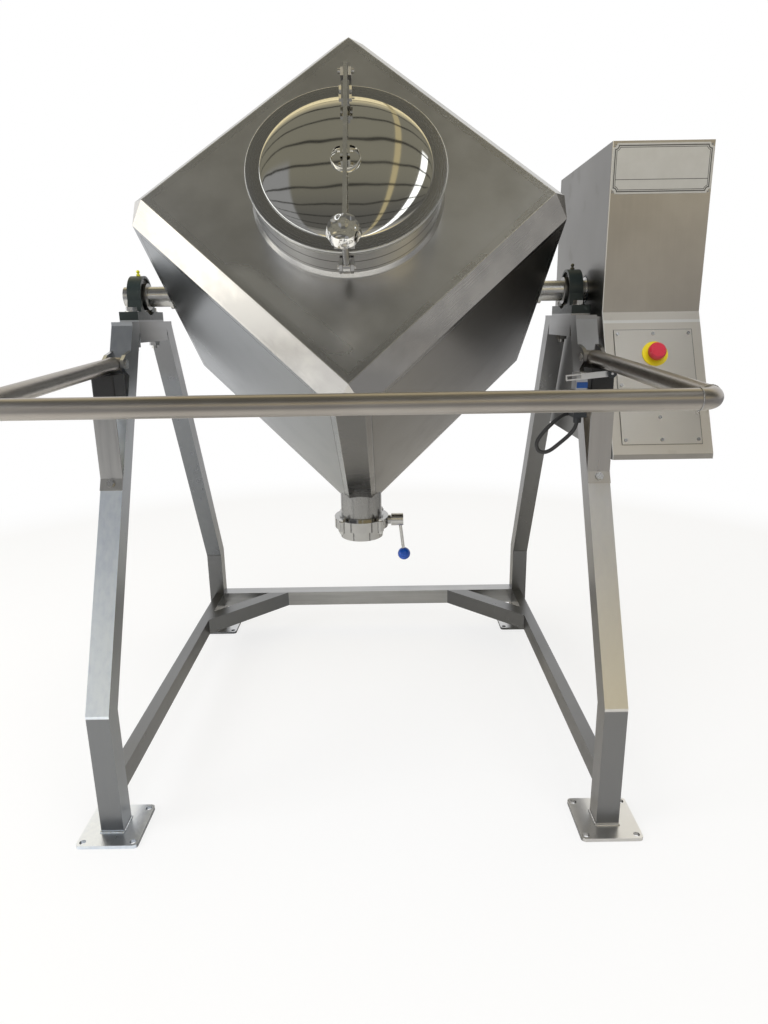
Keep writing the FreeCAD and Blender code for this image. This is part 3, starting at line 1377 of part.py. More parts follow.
# gearmotor inside the cabinet, with a hollow output sleeve on the drum's shaft
gear_x = cabinet_x + sheet_metal
case = box("reducer_case", gear_width - 4, gear_side, gear_side, gear_x + 4, -gear_side / 2, axis_z - gear_side / 2)
face_ring = rod("reducer_flange", gear_side * 0.42, 4, "x", gear_x, 0, axis_z)
motor_y = gear_side * 0.3
motor = rod("motor_case", motor_radius, motor_length, "z", gear_x + gear_width / 2 + 8, motor_y,
            axis_z - gear_side / 2 - motor_length)
reducer = fuse("gearmotor_solid", case, face_ring, motor)
gear_bore = rod("reducer_bore", sleeve_radius + running_gap, gear_width + 4, "x", gear_x - 2, 0, axis_z)
node(cut("gearmotor_cut", reducer, gear_bore), "gearmotor")
sleeve = pipe("sleeve_tube", sleeve_radius, shaft_radius, gear_width + 6, "x", gear_x - 3, 0, axis_z)
node(group("sleeve_group", sleeve), "output_sleeve")

doc.recompute()
os.makedirs("parts", exist_ok=True)
faults = [item.Name for item in doc.Objects if "Invalid" in item.State or "Error" in item.State]
if faults:
    raise RuntimeError(f"objects that failed: {faults}")
for item in NODES:
    shape = item.Shape
    if shape.isNull() or not shape.isValid() or shape.Volume <= 0:
        raise RuntimeError(f"bad shape: {item.Label}")
for item in NODES:
    item.Shape.exportStep(f"parts/{item.Label}.step")
    print(item.Label, len(item.Shape.Solids), round(item.Shape.Volume / 1000, 1))
print("nodes", len(NODES))
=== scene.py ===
"""Cubic powder mixer: finishes, cable, small fittings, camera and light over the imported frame."""
import json
import math
import bpy
import bmesh
from mathutils import Matrix, Vector


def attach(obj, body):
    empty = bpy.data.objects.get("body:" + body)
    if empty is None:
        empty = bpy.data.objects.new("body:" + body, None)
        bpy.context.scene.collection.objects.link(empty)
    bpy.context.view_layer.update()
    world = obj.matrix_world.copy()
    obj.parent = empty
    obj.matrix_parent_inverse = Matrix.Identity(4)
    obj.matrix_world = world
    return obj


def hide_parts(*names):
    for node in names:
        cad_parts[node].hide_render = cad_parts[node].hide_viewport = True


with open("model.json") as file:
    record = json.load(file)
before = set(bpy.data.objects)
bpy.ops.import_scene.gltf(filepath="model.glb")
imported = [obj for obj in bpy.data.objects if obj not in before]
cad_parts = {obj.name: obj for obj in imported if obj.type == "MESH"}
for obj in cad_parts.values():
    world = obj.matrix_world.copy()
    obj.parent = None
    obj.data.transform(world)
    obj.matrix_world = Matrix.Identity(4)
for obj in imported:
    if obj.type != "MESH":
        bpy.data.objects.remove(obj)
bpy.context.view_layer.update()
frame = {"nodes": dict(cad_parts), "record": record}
MM = 0.001

# Places shared with the part's source, in metres.
SHAFT = Vector((0, 0, 1.1652))
TILT = math.radians(3.2)
LEAN = TILT + math.atan(math.sqrt(2))
HALF_CUBE = 0.350
LEG_X, LEG_HALF = 0.551, 0.025
KNEE_HEIGHT = 0.292
DRUM = Matrix.Translation(SHAFT) @ Matrix.Rotation(TILT, 4, "X")
LID = Matrix.Translation(SHAFT) @ Matrix.Rotation(LEAN, 4, "X")
PANEL_ANGLE = math.atan2(0.141, 0.293)
PANEL = Matrix.Translation((0.587, -0.173, 1.089)) @ Matrix.Rotation(-PANEL_ANGLE, 4, "X")
FACE_AXES = [DRUM.to_3x3() @ Vector(axis) for axis in (
    (0, -math.sqrt(2 / 3), math.sqrt(1 / 3)),
    (-math.sqrt(1 / 2), -math.sqrt(1 / 6), -math.sqrt(1 / 3)),
    (math.sqrt(1 / 2), -math.sqrt(1 / 6), -math.sqrt(1 / 3)),
)]
FACE_DOWN = LID.to_3x3() @ Vector((0, -1, 0))


# shader maths
class Reading:
    """A socket's value, with Python's operators adding the maths nodes."""

    def __init__(self, finish, socket):
        self.finish = finish
        self.socket = socket

    def _math(self, operation, *values):
        return self.finish.node("ShaderNodeMath", {"operation": operation}, dict(enumerate(values)))

    def __add__(self, other):
        return self._math("ADD", self, other)

    def __sub__(self, other):
        return self._math("SUBTRACT", self, other)

    def __rsub__(self, other):
        return self._math("SUBTRACT", other, self)

    def __mul__(self, other):
        return self._math("MULTIPLY", self, other)

    def __truediv__(self, other):
        return self._math("DIVIDE", self, other)

    def __abs__(self):
        return self._math("ABSOLUTE", self)

    __radd__ = __add__
    __rmul__ = __mul__

    def most(self, other):
        return self._math("MAXIMUM", self, other)

    def least(self, other):
        return self._math("MINIMUM", self, other)

    def band(self, centre, half_width, softness):
        """1 inside the band and 0 outside, with soft edges."""
        return self.finish.ramped(abs(self - centre), half_width + softness, half_width)


class Finish:
    """A procedural material in the making."""

    def __init__(self, name):
        self.material = bpy.data.materials.new(name)
        self.material.use_nodes = True
        self.tree = self.material.node_tree
        self.shader = self.tree.nodes["Principled BSDF"]
        self.place = self.node("ShaderNodeTexCoord", {}, {}, "Object")
        self.normal = self.node("ShaderNodeTexCoord", {}, {}, "Normal")

    def node(self, kind, settings, sockets, output=0):
        """Add a node: its settings first, then the values or links of its sockets."""
        node = self.tree.nodes.new(kind)
        for key, value in settings.items():
            if key == "stops":
                ramp = node.color_ramp
                while len(ramp.elements) < len(value):
                    ramp.elements.new(0.5)
                for element, (position, color) in zip(ramp.elements, value):
                    element.position = position
                    element.color = (*color, 1)
            else:
                setattr(node, key, value)
        for key, value in sockets.items():
            if isinstance(value, Reading):
                self.tree.links.new(value.socket, node.inputs[key])
            else:
                node.inputs[key].default_value = value
        return Reading(self, node.outputs[output])

    def ramped(self, reading, low, high, start=0.0, end=1.0):
        return self.node("ShaderNodeMapRange", {"interpolation_type": "SMOOTHSTEP"}, {
            "Value": reading, "From Min": low, "From Max": high, "To Min": start, "To Max": end})

    def along(self, direction):
        """Distance from the origin along a direction."""
        return self.node("ShaderNodeVectorMath", {"operation": "DOT_PRODUCT"},
                         {0: self.place, 1: tuple(direction)}, "Value")

    def facing_way(self, direction, low, high):
        """1 near a direction of the sky, and 0 away from it."""
        return self.ramped(self.along(direction), low, high)

    def facing(self, direction, low=0.6, high=0.9):
        """1 where the surface faces along a direction of the object, and 0 where it doesn't."""
        share = self.node("ShaderNodeVectorMath", {"operation": "DOT_PRODUCT"},
                          {0: self.normal, 1: tuple(direction)}, "Value")
        return self.ramped(share, low, high)

    def stretched(self, scales, turn=(0, 0, 0)):
        """Object coordinates turned, then scaled: a small scale makes long streaks."""
        turned = self.node("ShaderNodeMapping", {"vector_type": "TEXTURE"}, {"Vector": self.place, "Rotation": turn})
        return self.node("ShaderNodeMapping", {}, {"Vector": turned, "Scale": scales})

    def noise(self, scale, detail=3.0, place=None, roughness=0.55):
        return self.node("ShaderNodeTexNoise", {}, {
            "Vector": place or self.place, "Scale": scale, "Detail": detail, "Roughness": roughness}, "Fac")

    def blend(self, share, first, second):
        def rgba(value):
            return value if isinstance(value, Reading) else (*value, 1)
        return self.node("ShaderNodeMix", {"data_type": "RGBA"}, {0: share, 6: rgba(first), 7: rgba(second)}, 2)

    def bump(self, height, strength, distance=0.001, below=None):
        sockets = {"Height": height, "Strength": strength, "Distance": distance}
        if below is not None:
            sockets["Normal"] = below
        return self.node("ShaderNodeBump", {}, sockets, "Normal")

    def done(self, **sockets):
        names = {"color": "Base Color", "roughness": "Roughness", "metallic": "Metallic", "normal": "Normal",
                 "coat": "Coat Weight", "coat_roughness": "Coat Roughness", "ior": "IOR",
                 "anisotropic": "Anisotropic"}
        for key, value in sockets.items():
            socket = self.shader.inputs[names[key]]
            if isinstance(value, Reading):
                self.tree.links.new(value.socket, socket)
            else:
                socket.default_value = (*value, 1) if key == "color" else value
        return self.material


def streaked_steel(name, dark, light, streaks, rough=0.3, grain=0.12, turn=(0, 0, 0), painted_side_shade=0.0):
    """Brushed sheet: fine streaks, soft clouds of tone and handling smears. Given a side share, light and shade are
    also painted in by place: a painted warm reflection tint on the right, painted shade at the rear, on the side faces,
    near the top and below the knee, and a painted highlight on top faces.
    """
    steel = Finish(name)
    lines = steel.noise(1.0, 4, steel.stretched(streaks, turn))
    clouds = steel.noise(3.2, 4)
    smears = steel.ramped(steel.noise(9, 5), 0.52, 0.75)
    tone = steel.ramped(clouds * 0.6 + lines * 0.4, 0.36, 0.64)
    gloss = rough + (clouds - 0.5) * 0.12 + (lines - 0.5) * 0.1 + smears * 0.05
    sheet = steel.blend(tone, dark, light)
    if painted_side_shade:
        # painted reflection tint: the right side (positive x) is made warmer, the left keeps the cool base colour
        warm = steel.ramped(steel.along((1, 0, 0)), -0.2, 0.2)
        sheet = steel.blend(warm * 0.75, sheet, (0.60, 0.565, 0.52))
        # painted shade: parts behind the middle (positive y) are darkened
        rear = steel.ramped(steel.along((0, 1, 0)), -0.1, 0.1)
        sheet = steel.blend(rear * 0.85, sheet, (0.12, 0.124, 0.13))
        # painted shade on the side faces, those facing plus and minus x
        painted_flank_shade = steel.facing((1, 0, 0)) + steel.facing((-1, 0, 0))
        sheet = steel.blend(painted_flank_shade * painted_side_shade, sheet, (0.075, 0.071, 0.067))
        # painted highlight: faces turned up are made lighter
        sheet = steel.blend(steel.facing((0, 0, 1)) * 0.5, sheet, (0.95, 0.96, 0.98))
        height = steel.along((0, 0, 1))
        # painted shade: stand parts above 0.92 m are darkened
        sheet = steel.blend(steel.ramped(height, 0.92, 0.98) * 0.6, sheet, (0.19, 0.19, 0.195))
        # painted shade on the legs below the knee, but not on their side faces
        painted_shin_shade = height.band(KNEE_HEIGHT / 2 + 0.0065, KNEE_HEIGHT / 2 - 0.0085, 0.003)
        sheet = steel.blend(painted_shin_shade * (1 - painted_flank_shade) * 0.92, sheet, (0.16, 0.163, 0.168))
    return steel.done(color=sheet, metallic=1.0, roughness=gloss,
                      normal=steel.bump(lines, grain, 0.0004))


def drum_sheet(name):
    """The drum's sheets: satin, with a ground line inside each bent edge and lines at the welds; a painted highlight
    track below the neck and painted highlight lines along the folds of the top face, and painted shade on the lower
    faces and on the strips facing down and up.
    """
    steel = Finish(name)
    centred = [abs(steel.along(axis) - axis.dot(SHAFT)) for axis in FACE_AXES]
    first, second, third = centred
    largest = first.most(second).most(third)
    smallest = first.least(second).least(third)
    middle = first + second + third - largest - smallest
    seam = middle.band(0.2905, 0.0009, 0.0010)
    border = steel.ramped(middle, 0.291, 0.292)
    weld = middle.band(0.3075, 0.0015, 0.0015)
    lines = steel.noise(1.0, 4, steel.stretched((14, 14, 700), (LEAN, 0, 0)))
    clouds = steel.noise(2.6, 4)
    smears = steel.ramped(steel.noise(7, 5), 0.5, 0.78)
    tone = steel.ramped(clouds * 0.7 + lines * 0.3, 0.35, 0.65)
    upper = steel.facing(FACE_AXES[0])
    strip = steel.ramped(middle, 0.3065, 0.3085)
    sheet = steel.blend(tone, (0.55, 0.545, 0.535), (0.69, 0.685, 0.675))
    across = steel.along((1, 0, 0))
    down = steel.along(FACE_DOWN) - FACE_DOWN.dot(SHAFT)
    # painted highlight: a light track on the top face below the neck, with a little lower roughness as well
    polish_and_sheen = (across - down * 1.1).band(-0.414, 0.006, 0.045) * steel.ramped(down, 0.42, 0.25)
    polish_and_sheen = polish_and_sheen * steel.ramped(down, 0.15, 0.19) * upper
    sheet = steel.blend(polish_and_sheen * 0.8, sheet, (0.98, 0.985, 1.0))
    # painted shade: the lower left face is darkened
    left = steel.facing(FACE_AXES[1])
    sheet = steel.blend(left * 0.85, sheet, (0.20, 0.218, 0.238))
    worn = steel.ramped(steel.noise(5.5, 4), 0.38, 0.62)
    sheet = steel.blend(strip, sheet, steel.blend(worn, (0.57, 0.555, 0.53), (0.77, 0.745, 0.70)))
    # painted shade on the strips that face down
    below = steel.facing(FACE_AXES[1] + FACE_AXES[2], 1.2, 1.38)
    sheet = steel.blend(strip * below * 0.92, sheet, (0.12, 0.123, 0.127))
    # painted shade on the strips that face up
    sheet = steel.blend(strip * steel.facing((0, 0, 1), 0.68, 0.76) * 0.6, sheet, (0.22, 0.22, 0.22))
    # painted highlight: a thin light line along the folds round the top face
    sheet = steel.blend(middle.band(0.3066, 0.0008, 0.0006) * upper * 0.8, sheet, (1.0, 0.98, 0.93))
    shaded = steel.facing(FACE_AXES[2]) + steel.facing((1, 0, -0.2), 0.55, 0.8) * 0.4
    sheet = steel.blend(shaded * 0.85, sheet, (0.155, 0.145, 0.135))
    seam = seam * (1 - upper * 0.95)
    sheet = steel.blend(seam * 0.75, sheet, (0.10, 0.10, 0.10))
    gloss = 0.30 + (clouds - 0.5) * 0.14 + (lines - 0.5) * 0.08 + smears * 0.05 - border * 0.04 - polish_and_sheen * 0.1
    relief = steel.bump(lines, 0.1, 0.0004)
    relief = steel.bump(seam * -1.0 + weld * 0.15, 0.6, 0.0006, relief)
    return steel.done(color=sheet, metallic=1.0, roughness=gloss, normal=relief)


def mirror_steel(name):
    steel = Finish(name)
    haze = steel.noise(6, 4)
    swirl = steel.noise(1.0, 3, steel.stretched((60, 60, 4)))
    return steel.done(color=steel.blend(haze, (0.70, 0.69, 0.67), (0.80, 0.79, 0.77)), metallic=1.0,
                      roughness=0.035 + haze * 0.03 + (swirl - 0.5) * 0.02,
                      normal=steel.bump(haze, 0.02, 0.002))


def knob_steel(name):
    """Polished by hand: soft waves that break up what it mirrors."""
    steel = Finish(name)
    waves = steel.noise(38, 1)
    haze = steel.noise(260, 3)
    return steel.done(color=steel.blend(haze, (0.90, 0.89, 0.86), (0.97, 0.96, 0.93)), metallic=1.0,
                      roughness=0.05 + haze * 0.04, normal=steel.bump(waves, 0.9, 0.012))


def from_axis(finish):
    """Distance from the manhole's axis, and height along it from the drum's middle."""
    axis = LID.to_3x3() @ Vector((0, 0, 1))
    across = finish.along((1, 0, 0))
    down = LID.to_3x3() @ Vector((0, 1, 0))
    aside = finish.along(down) - down.dot(SHAFT)
    height = finish.along(axis) - axis.dot(SHAFT)
    radius = finish.node("ShaderNodeMath", {"operation": "SQRT"}, {0: across * across + aside * aside})
    return radius, height


def lid_sheet(name):
    """The lid: a mirror-polished dome inside a ring of turned sheet, with fine circles from the lathe."""
    steel = Finish(name)
    radius, _ = from_axis(steel)
    ring = steel.ramped(radius, 0.1715, 0.1725)
    haze = steel.noise(6, 4)
    circles = steel.node("ShaderNodeTexNoise", {"noise_dimensions": "1D"}, {"W": radius * 1.0, "Scale": 1500.0}, "Fac")
    polish_and_sheen = steel.blend(haze, (0.70, 0.685, 0.63), (0.82, 0.805, 0.75))
    rim = steel.ramped(radius, 0.1985, 0.2005)
    turned = steel.blend(circles, (0.32, 0.32, 0.318), (0.46, 0.459, 0.455))
    turned = steel.blend(rim, turned, (0.60, 0.60, 0.58))
    return steel.done(color=steel.blend(ring, polish_and_sheen, turned), metallic=1.0,
                      roughness=0.035 + haze * 0.03 + ring * (0.15 + circles * 0.1),
                      normal=steel.bump(circles * ring, 0.05, 0.0003))


def neck_sheet(name):
    """The manhole's neck: brushed round, with rolled bands and a line under the flange, grooved and painted dark as
    shade.
    """
    steel = Finish(name)
    radius, height = from_axis(steel)
    lines = steel.node("ShaderNodeTexNoise", {"noise_dimensions": "1D"}, {"W": height * 1.0, "Scale": 900.0}, "Fac")
    clouds = steel.noise(8, 4)
    bands = height.band(0.372, 0.0006, 0.0006) + height.band(0.398, 0.0008, 0.0008) + height.band(0.414, 0.0005, 0.0006)
    tone = steel.blend(clouds * 0.5 + lines * 0.5, (0.50, 0.497, 0.49), (0.76, 0.755, 0.74))
    # painted shade in the creases of the rolled bands and under the flange
    tone = steel.blend(bands * 0.75, tone, (0.09, 0.09, 0.09))
    return steel.done(color=tone, metallic=1.0, roughness=0.2 + (lines - 0.5) * 0.14 + clouds * 0.06,
                      normal=steel.bump(lines * 0.5 - bands, 0.25, 0.0006))


def turned_steel(name, base=0.55, rough=0.24):
    """Machined or turned metal with fine tool marks."""
    steel = Finish(name)
    marks = steel.noise(1.0, 2, steel.stretched((900, 60, 60)))
    spots = steel.noise(30, 4)
    return steel.done(color=steel.blend(spots, (base * 0.8,) * 3, (base * 1.1, base * 1.09, base * 1.06)),
                      metallic=1.0, roughness=rough + (marks - 0.5) * 0.12 + (spots - 0.5) * 0.1,
                      normal=steel.bump(marks, 0.08, 0.0003))


def cabinet_sheet(name):
    """Satin sheet, smooth and warm, with faint stains, painted light on the sloping panel, painted shade on the side
    faces and a painted highlight along the front edge and the panel's fold.
    """
    steel = Finish(name)
    lines = steel.noise(1.0, 3, steel.stretched((160, 30, 5)))
    clouds = steel.noise(4.0, 4)
    stains = steel.ramped(steel.noise(16, 5), 0.60, 0.70)
    slope = steel.facing(PANEL.to_3x3() @ Vector((0, -1, 0)), 0.93, 0.98)
    painted_flank_shade = steel.facing((-1, 0, 0)) + steel.facing((1, 0, 0)) * 0.5
    sheet = steel.blend(steel.ramped(clouds * 0.92 + lines * 0.08, 0.3, 0.7), (0.44, 0.41, 0.37), (0.54, 0.51, 0.465))
    # painted light: the sloping panel is made lighter
    sheet = steel.blend(slope, sheet, (0.79, 0.75, 0.69))
    # painted shade on the side faces, less on the right one
    sheet = steel.blend(painted_flank_shade * 0.95, sheet, (0.12, 0.117, 0.112))
    # painted highlight: a light line down the front edge near x = 0.587 m and along the sloping panel at 1.0875 m
    # height
    corner = (steel.along((1, 0, 0)).band(0.5872, 0.0014, 0.0008) * (1 - painted_flank_shade)).most(steel.along((0, 0, 1)).band(1.0875, 0.0024, 0.002) * slope)
    sheet = steel.blend(corner * 0.9, sheet, (0.97, 0.96, 0.94))
    sheet = steel.blend(stains * 0.10, sheet, (0.26, 0.245, 0.22))
    return steel.done(color=sheet, metallic=1.0, roughness=0.34 + (clouds - 0.5) * 0.16 + stains * 0.05,
                      normal=steel.bump(lines, 0.03, 0.0004))


def cover_sheet(name):
    """The cover on the sloping panel, with the gap round its edge: a groove with painted shade in it."""
    steel = Finish(name)
    origin = PANEL.to_translation()
    down_way = PANEL.to_3x3() @ Vector((0, 0, -1))
    across = steel.along((1, 0, 0)) - origin.x
    down = steel.along(down_way) - down_way.dot(origin)
    inset, width, top, height = 0.0225, 0.229, 0.023, 0.280
    edge = abs(across - width / 2) - (width / 2 - inset)
    edge = edge.most(abs(down - (top + height / 2)) - height / 2)
    gap = steel.ramped(edge, -0.0016, -0.0009)
    clouds = steel.noise(5, 4)
    smears = steel.ramped(steel.noise(14, 5), 0.56, 0.72)
    sheet = steel.blend(clouds, (0.70, 0.665, 0.61), (0.85, 0.815, 0.76))
    # painted shade in the gap round the cover
    sheet = steel.blend(gap * 0.75, sheet, (0.10, 0.095, 0.085))
    return steel.done(color=sheet, metallic=1.0, roughness=0.30 + (clouds - 0.5) * 0.2 + smears * 0.06,
                      normal=steel.bump(smears * 0.3 - gap, 0.15, 0.0005))


def switch_case(name):
    """The limit switch: a moulded black case under a die-cast head."""
    case = Finish(name)
    head = case.ramped(case.along((0, 0, 1)), 0.9448, 0.9452)
    grain = case.noise(300, 3)
    return case.done(color=case.blend(head, (0.02, 0.023, 0.028), (0.55, 0.56, 0.58)), metallic=head,
                     roughness=0.42 + (grain - 0.5) * 0.2, normal=case.bump(grain, 0.1, 0.0003))


def painted_casting(name):
    paint = Finish(name)
    lumps = paint.noise(160, 4)
    wear = paint.ramped(paint.noise(40, 6), 0.62, 0.74)
    return paint.done(color=paint.blend(wear, (0.013, 0.021, 0.021), (0.06, 0.075, 0.072)),
                      metallic=0.0, roughness=0.42 + (lumps - 0.5) * 0.25, normal=paint.bump(lumps, 0.35, 0.0008))


def moulded(name, color, rough=0.3, mottle=0.12, bump=0.05):
    """Moulded plastic or rubber with a faint mottle, dust and fine texture."""
    plastic = Finish(name)
    cloud = plastic.noise(22, 4)
    pores = plastic.noise(900, 2)
    low = tuple(c * (1 - mottle) for c in color)
    high = tuple(min(1, c * (1 + mottle) + 0.004) for c in color)
    return plastic.done(color=plastic.blend(cloud, low, high), metallic=0.0,
                        roughness=rough + (cloud - 0.5) * 0.14 + (pores - 0.5) * 0.06,
                        normal=plastic.bump(pores, bump, 0.0003))


def brass(name):
    metal = Finish(name)
    spots = metal.noise(90, 4)
    capped = metal.blend(metal.ramped(metal.along((1, 0, 0)), -0.1, 0.1), (0.70, 0.68, 0.03), (0.06, 0.062, 0.058))
    return metal.done(color=metal.blend(spots * 0.25, capped, (0.40, 0.34, 0.12)), metallic=0.4,
                      roughness=0.28 + (spots - 0.5) * 0.2, normal=metal.bump(spots, 0.05, 0.0003))


FINISH = {
    "drum_steel": drum_sheet("drum_sheet"),
    "polished_steel": mirror_steel("mirror_steel"),
    # the stand's bluish base colour is a painted reflection tint of cool window light; streaked_steel paints its right
    # side warmer
    "stand_steel": streaked_steel("stand_tube", (0.74, 0.80, 0.90), (0.88, 0.94, 1.0), (90, 90, 4), grain=0.04,
                                  painted_side_shade=0.8),
    "cabinet_steel": cabinet_sheet("cabinet_sheet"),
    "machined_steel": turned_steel("turned_steel"),
    "cast_housing": painted_casting("bearing_paint"),
    "drive_paint": moulded("drive_paint", (0.06, 0.12, 0.2), 0.4),
    "brass_fitting": brass("grease_brass"),
    "black_rubber": moulded("buffer_rubber", (0.012, 0.012, 0.013), 0.55, 0.3, 0.2),
    "seal_rubber": moulded("seal_rubber", (0.55, 0.54, 0.50), 0.5),
    "switch_plastic": moulded("switch_body", (0.02, 0.023, 0.028), 0.38),
    "cable_sheath": moulded("cable_sheath", (0.03, 0.03, 0.032), 0.42),
    "red_plastic": moulded("stop_red", (0.56, 0.022, 0.05), 0.3),
    "yellow_plastic": moulded("stop_yellow", (0.80, 0.66, 0.015), 0.34),
    "blue_plastic": moulded("ball_blue", (0.008, 0.085, 0.50), 0.12),
}
ROUND_RAIL = streaked_steel("rail_tube", (0.33, 0.305, 0.28), (0.42, 0.395, 0.37), (4, 90, 90), 0.33, 0.0)
LENGTHWAYS = streaked_steel("rail_steel", (0.34, 0.345, 0.355), (0.45, 0.455, 0.465), (4, 90, 90), grain=0.05)
SIDEWAYS = streaked_steel("side_rail_steel", (0.50, 0.51, 0.53), (0.64, 0.655, 0.68), (90, 4, 90), grain=0.04,
                          painted_side_shade=0.92)
STRIP = streaked_steel("bracket_strip", (0.36, 0.355, 0.35), (0.48, 0.475, 0.465), (90, 90, 4), grain=0.04, painted_side_shade=0.85)
RING_STEEL = turned_steel("ring_steel", 0.26, 0.32)
SPECIAL = {"bearing_inner_rings": RING_STEEL, "bearing_outer_rings": RING_STEEL, "clamp_knob": knob_steel("knob_steel"),
           "manhole_neck": neck_sheet("neck_sheet"), "panel_cover": cover_sheet("cover_sheet"),
           "limit_switch": switch_case("switch_case"), "switch_lever": turned_steel("lever_plate", 0.85, 0.3),
           "lid_arm": turned_steel("arm_bar", 0.8, 0.2), "arm_cheeks": turned_steel("arm_plates", 0.6, 0.2),
           "valve_body": turned_steel("valve_polish", 0.40, 0.1),
           "outlet_tube": turned_steel("tube_steel", 0.30, 0.26), "buffer_brackets": STRIP,
           "cover_screws": turned_steel("screw_heads", 0.5, 0.22),
           "guard_rail": ROUND_RAIL, "rear_rail": LENGTHWAYS, "side_rails": SIDEWAYS, "crosspieces": SIDEWAYS}

slot_of = {part["node"]: part["material_slot"] for part in frame["record"]["subparts"]}
for name, node in frame["nodes"].items():
    for index in range(max(1, len(node.material_slots))):
        material = SPECIAL.get(name) or FINISH[slot_of[name]]
        if node.material_slots:
            node.material_slots[index].material = material
        else:
            node.data.materials.append(material)


# making pieces
def add_piece(name, mesh, body, slot, material=None, smooth=False):
    piece = bpy.data.objects.new(name, mesh)
    bpy.context.scene.collection.objects.link(piece)
    mesh.materials.append(material or FINISH[slot])
    if smooth:
        for polygon in mesh.polygons:
            polygon.use_smooth = True
    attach(piece, body)
    return piece


def from_bmesh(name, bm):
    bmesh.ops.recalc_face_normals(bm, faces=bm.faces)
    mesh = bpy.data.meshes.new(name)
    bm.to_mesh(mesh)
    bm.free()
    return mesh


def weld_bead(name, points, radius, body, slot="stand_steel", closed=True):
    """A rippled weld bead along straight runs, rings every few millimetres."""
    bm = bmesh.new()
    stations = []
    runs = list(zip(points, points[1:] + points[:1] if closed else points[1:]))
    for start, end in runs:
        start, end = Vector(start), Vector(end)
        count = max(2, int((end - start).length / 0.003))
        stations += [start.lerp(end, step / count) for step in range(count)]
    if not closed:
        stations.append(Vector(points[-1]))
    rings = []
    total = len(stations)
    for index, here in enumerate(stations):
        before = stations[index - 1] if index or closed else here
        after = stations[(index + 1) % total] if index + 1 < total or closed else here
        forward = (after - before).normalized()
        side = forward.orthogonal().normalized()
        up = forward.cross(side)
        swell = radius * (1 + 0.16 * math.sin(index * 2.1) + 0.07 * math.sin(index * 0.63))
        rings.append([bm.verts.new(here + (side * math.cos(a) + up * math.sin(a)) * swell)
                      for a in (math.pi / 4 * k for k in range(8))])
    pairs = list(zip(rings, rings[1:])) + ([(rings[-1], rings[0])] if closed else [])
    for low, high in pairs:
        shift = min(range(8), key=lambda k: (high[k].co - low[0].co).length)
        for k in range(8):
            bm.faces.new((low[k], low[(k + 1) % 8], high[(k + 1 + shift) % 8], high[(k + shift) % 8]))
    return add_piece(name, from_bmesh(name, bm), body, slot, smooth=True)


def revolve(bm, profile, frame_matrix, segments=144):
    """A closed ring of faces from a closed profile of (radius, height) turned about the frame's Z."""
    rings = []
    for step in range(segments):
        angle = 2 * math.pi * step / segments
        rings.append([bm.verts.new(frame_matrix @ Vector((r * math.cos(angle), r * math.sin(angle), h)))
                      for r, h in profile])
    for ring, following in zip(rings, rings[1:] + rings[:1]):
        for k in range(len(profile)):
            after = (k + 1) % len(profile)
            bm.faces.new((ring[k], ring[after], following[after], following[k]))


def block(bm, low, high, frame_matrix):
    """A box between two corners of a frame."""
    corners = [bm.verts.new(frame_matrix @ Vector((x, y, z)))
               for x in (low[0], high[0]) for y in (low[1], high[1]) for z in (low[2], high[2])]
    for a, b, c, d in ((0, 1, 3, 2), (4, 6, 7, 5), (0, 4, 5, 1), (2, 3, 7, 6), (0, 2, 6, 4), (1, 5, 7, 3)):
        bm.faces.new((corners[a], corners[b], corners[c], corners[d]))


def sharp_by_angle(piece, degrees=35):
    """Smooth shading with the folds kept sharp."""
    piece.data.polygons.foreach_set("use_smooth", [True] * len(piece.data.polygons))
    piece.data.set_sharp_from_angle(angle=math.radians(degrees))


def rectangle(x0, x1, y0, y1, z):
    return [(x0, y0, z), (x1, y0, z), (x1, y1, z), (x0, y1, z)]


# camera, from the solved view of the photograph
def set_camera():
    data = bpy.data.cameras.new("camera")
    camera = bpy.data.objects.new("camera", data)
    bpy.context.scene.collection.objects.link(camera)
    yaw, pitch, roll = -0.00096, 0.268552, -0.015394
    forward = Vector((math.sin(yaw) * math.cos(pitch), math.cos(yaw) * math.cos(pitch), -math.sin(pitch)))
    right = Vector((math.cos(yaw), -math.sin(yaw), 0))
    up = right.cross(forward)
    right_rolled = right * math.cos(roll) + up * math.sin(roll)
    up_rolled = up * math.cos(roll) - right * math.sin(roll)
    turn = Matrix((right_rolled, up_rolled, -forward)).transposed().to_4x4()
    camera.matrix_world = Matrix.Translation((0.06573, -1.89955, 1.10559)) @ turn
    data.sensor_fit = "VERTICAL"
    data.sensor_height = 36
    data.lens = 707.26 / 1024 * 36
    data.clip_end = 60
    bpy.context.scene.camera = camera


set_camera()

# the limit switch's cable: the same route as in the part's source
CABLE_ROUTE = [
    (501.5, -312.5, 884.9), (501.5, -312.5, 866), (490, -311, 846), (466, -309, 824), (441, -307, 803),
    (420, -305, 803), (412, -303, 822), (426, -299, 844), (450, -291, 866), (477, -273, 883),
    (503, -250, 884), (525.9, -250, 884),
]


def lay_cable():
    curve = bpy.data.curves.new("cable", "CURVE")
    curve.dimensions = "3D"
    spline = curve.splines.new("NURBS")
    spline.points.add(len(CABLE_ROUTE) - 1)
    for point, place in zip(spline.points, CABLE_ROUTE):
        point.co = (*(Vector(place) * MM), 1)
    spline.order_u = 3
    spline.use_endpoint_u = True
    spline.resolution_u = 12
    curve.bevel_depth = 0.0045
    curve.bevel_resolution = 5
    cable = bpy.data.objects.new("limit_switch_cable", curve)
    bpy.context.scene.collection.objects.link(cable)
    curve.materials.append(FINISH["cable_sheath"])
    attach(cable, "stand")
    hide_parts("switch_cable")


lay_cable()

# weld beads round the feet
for side in (-1, 1):
    for end in (-1, 1):
        x, y = side * LEG_X, end * 0.542
        weld_bead(f"foot_weld_{side + 1}{end + 1}", rectangle(x - 0.026, x + 0.026, y - 0.026, y + 0.026, 0.0088),
                  0.0024, "stand")


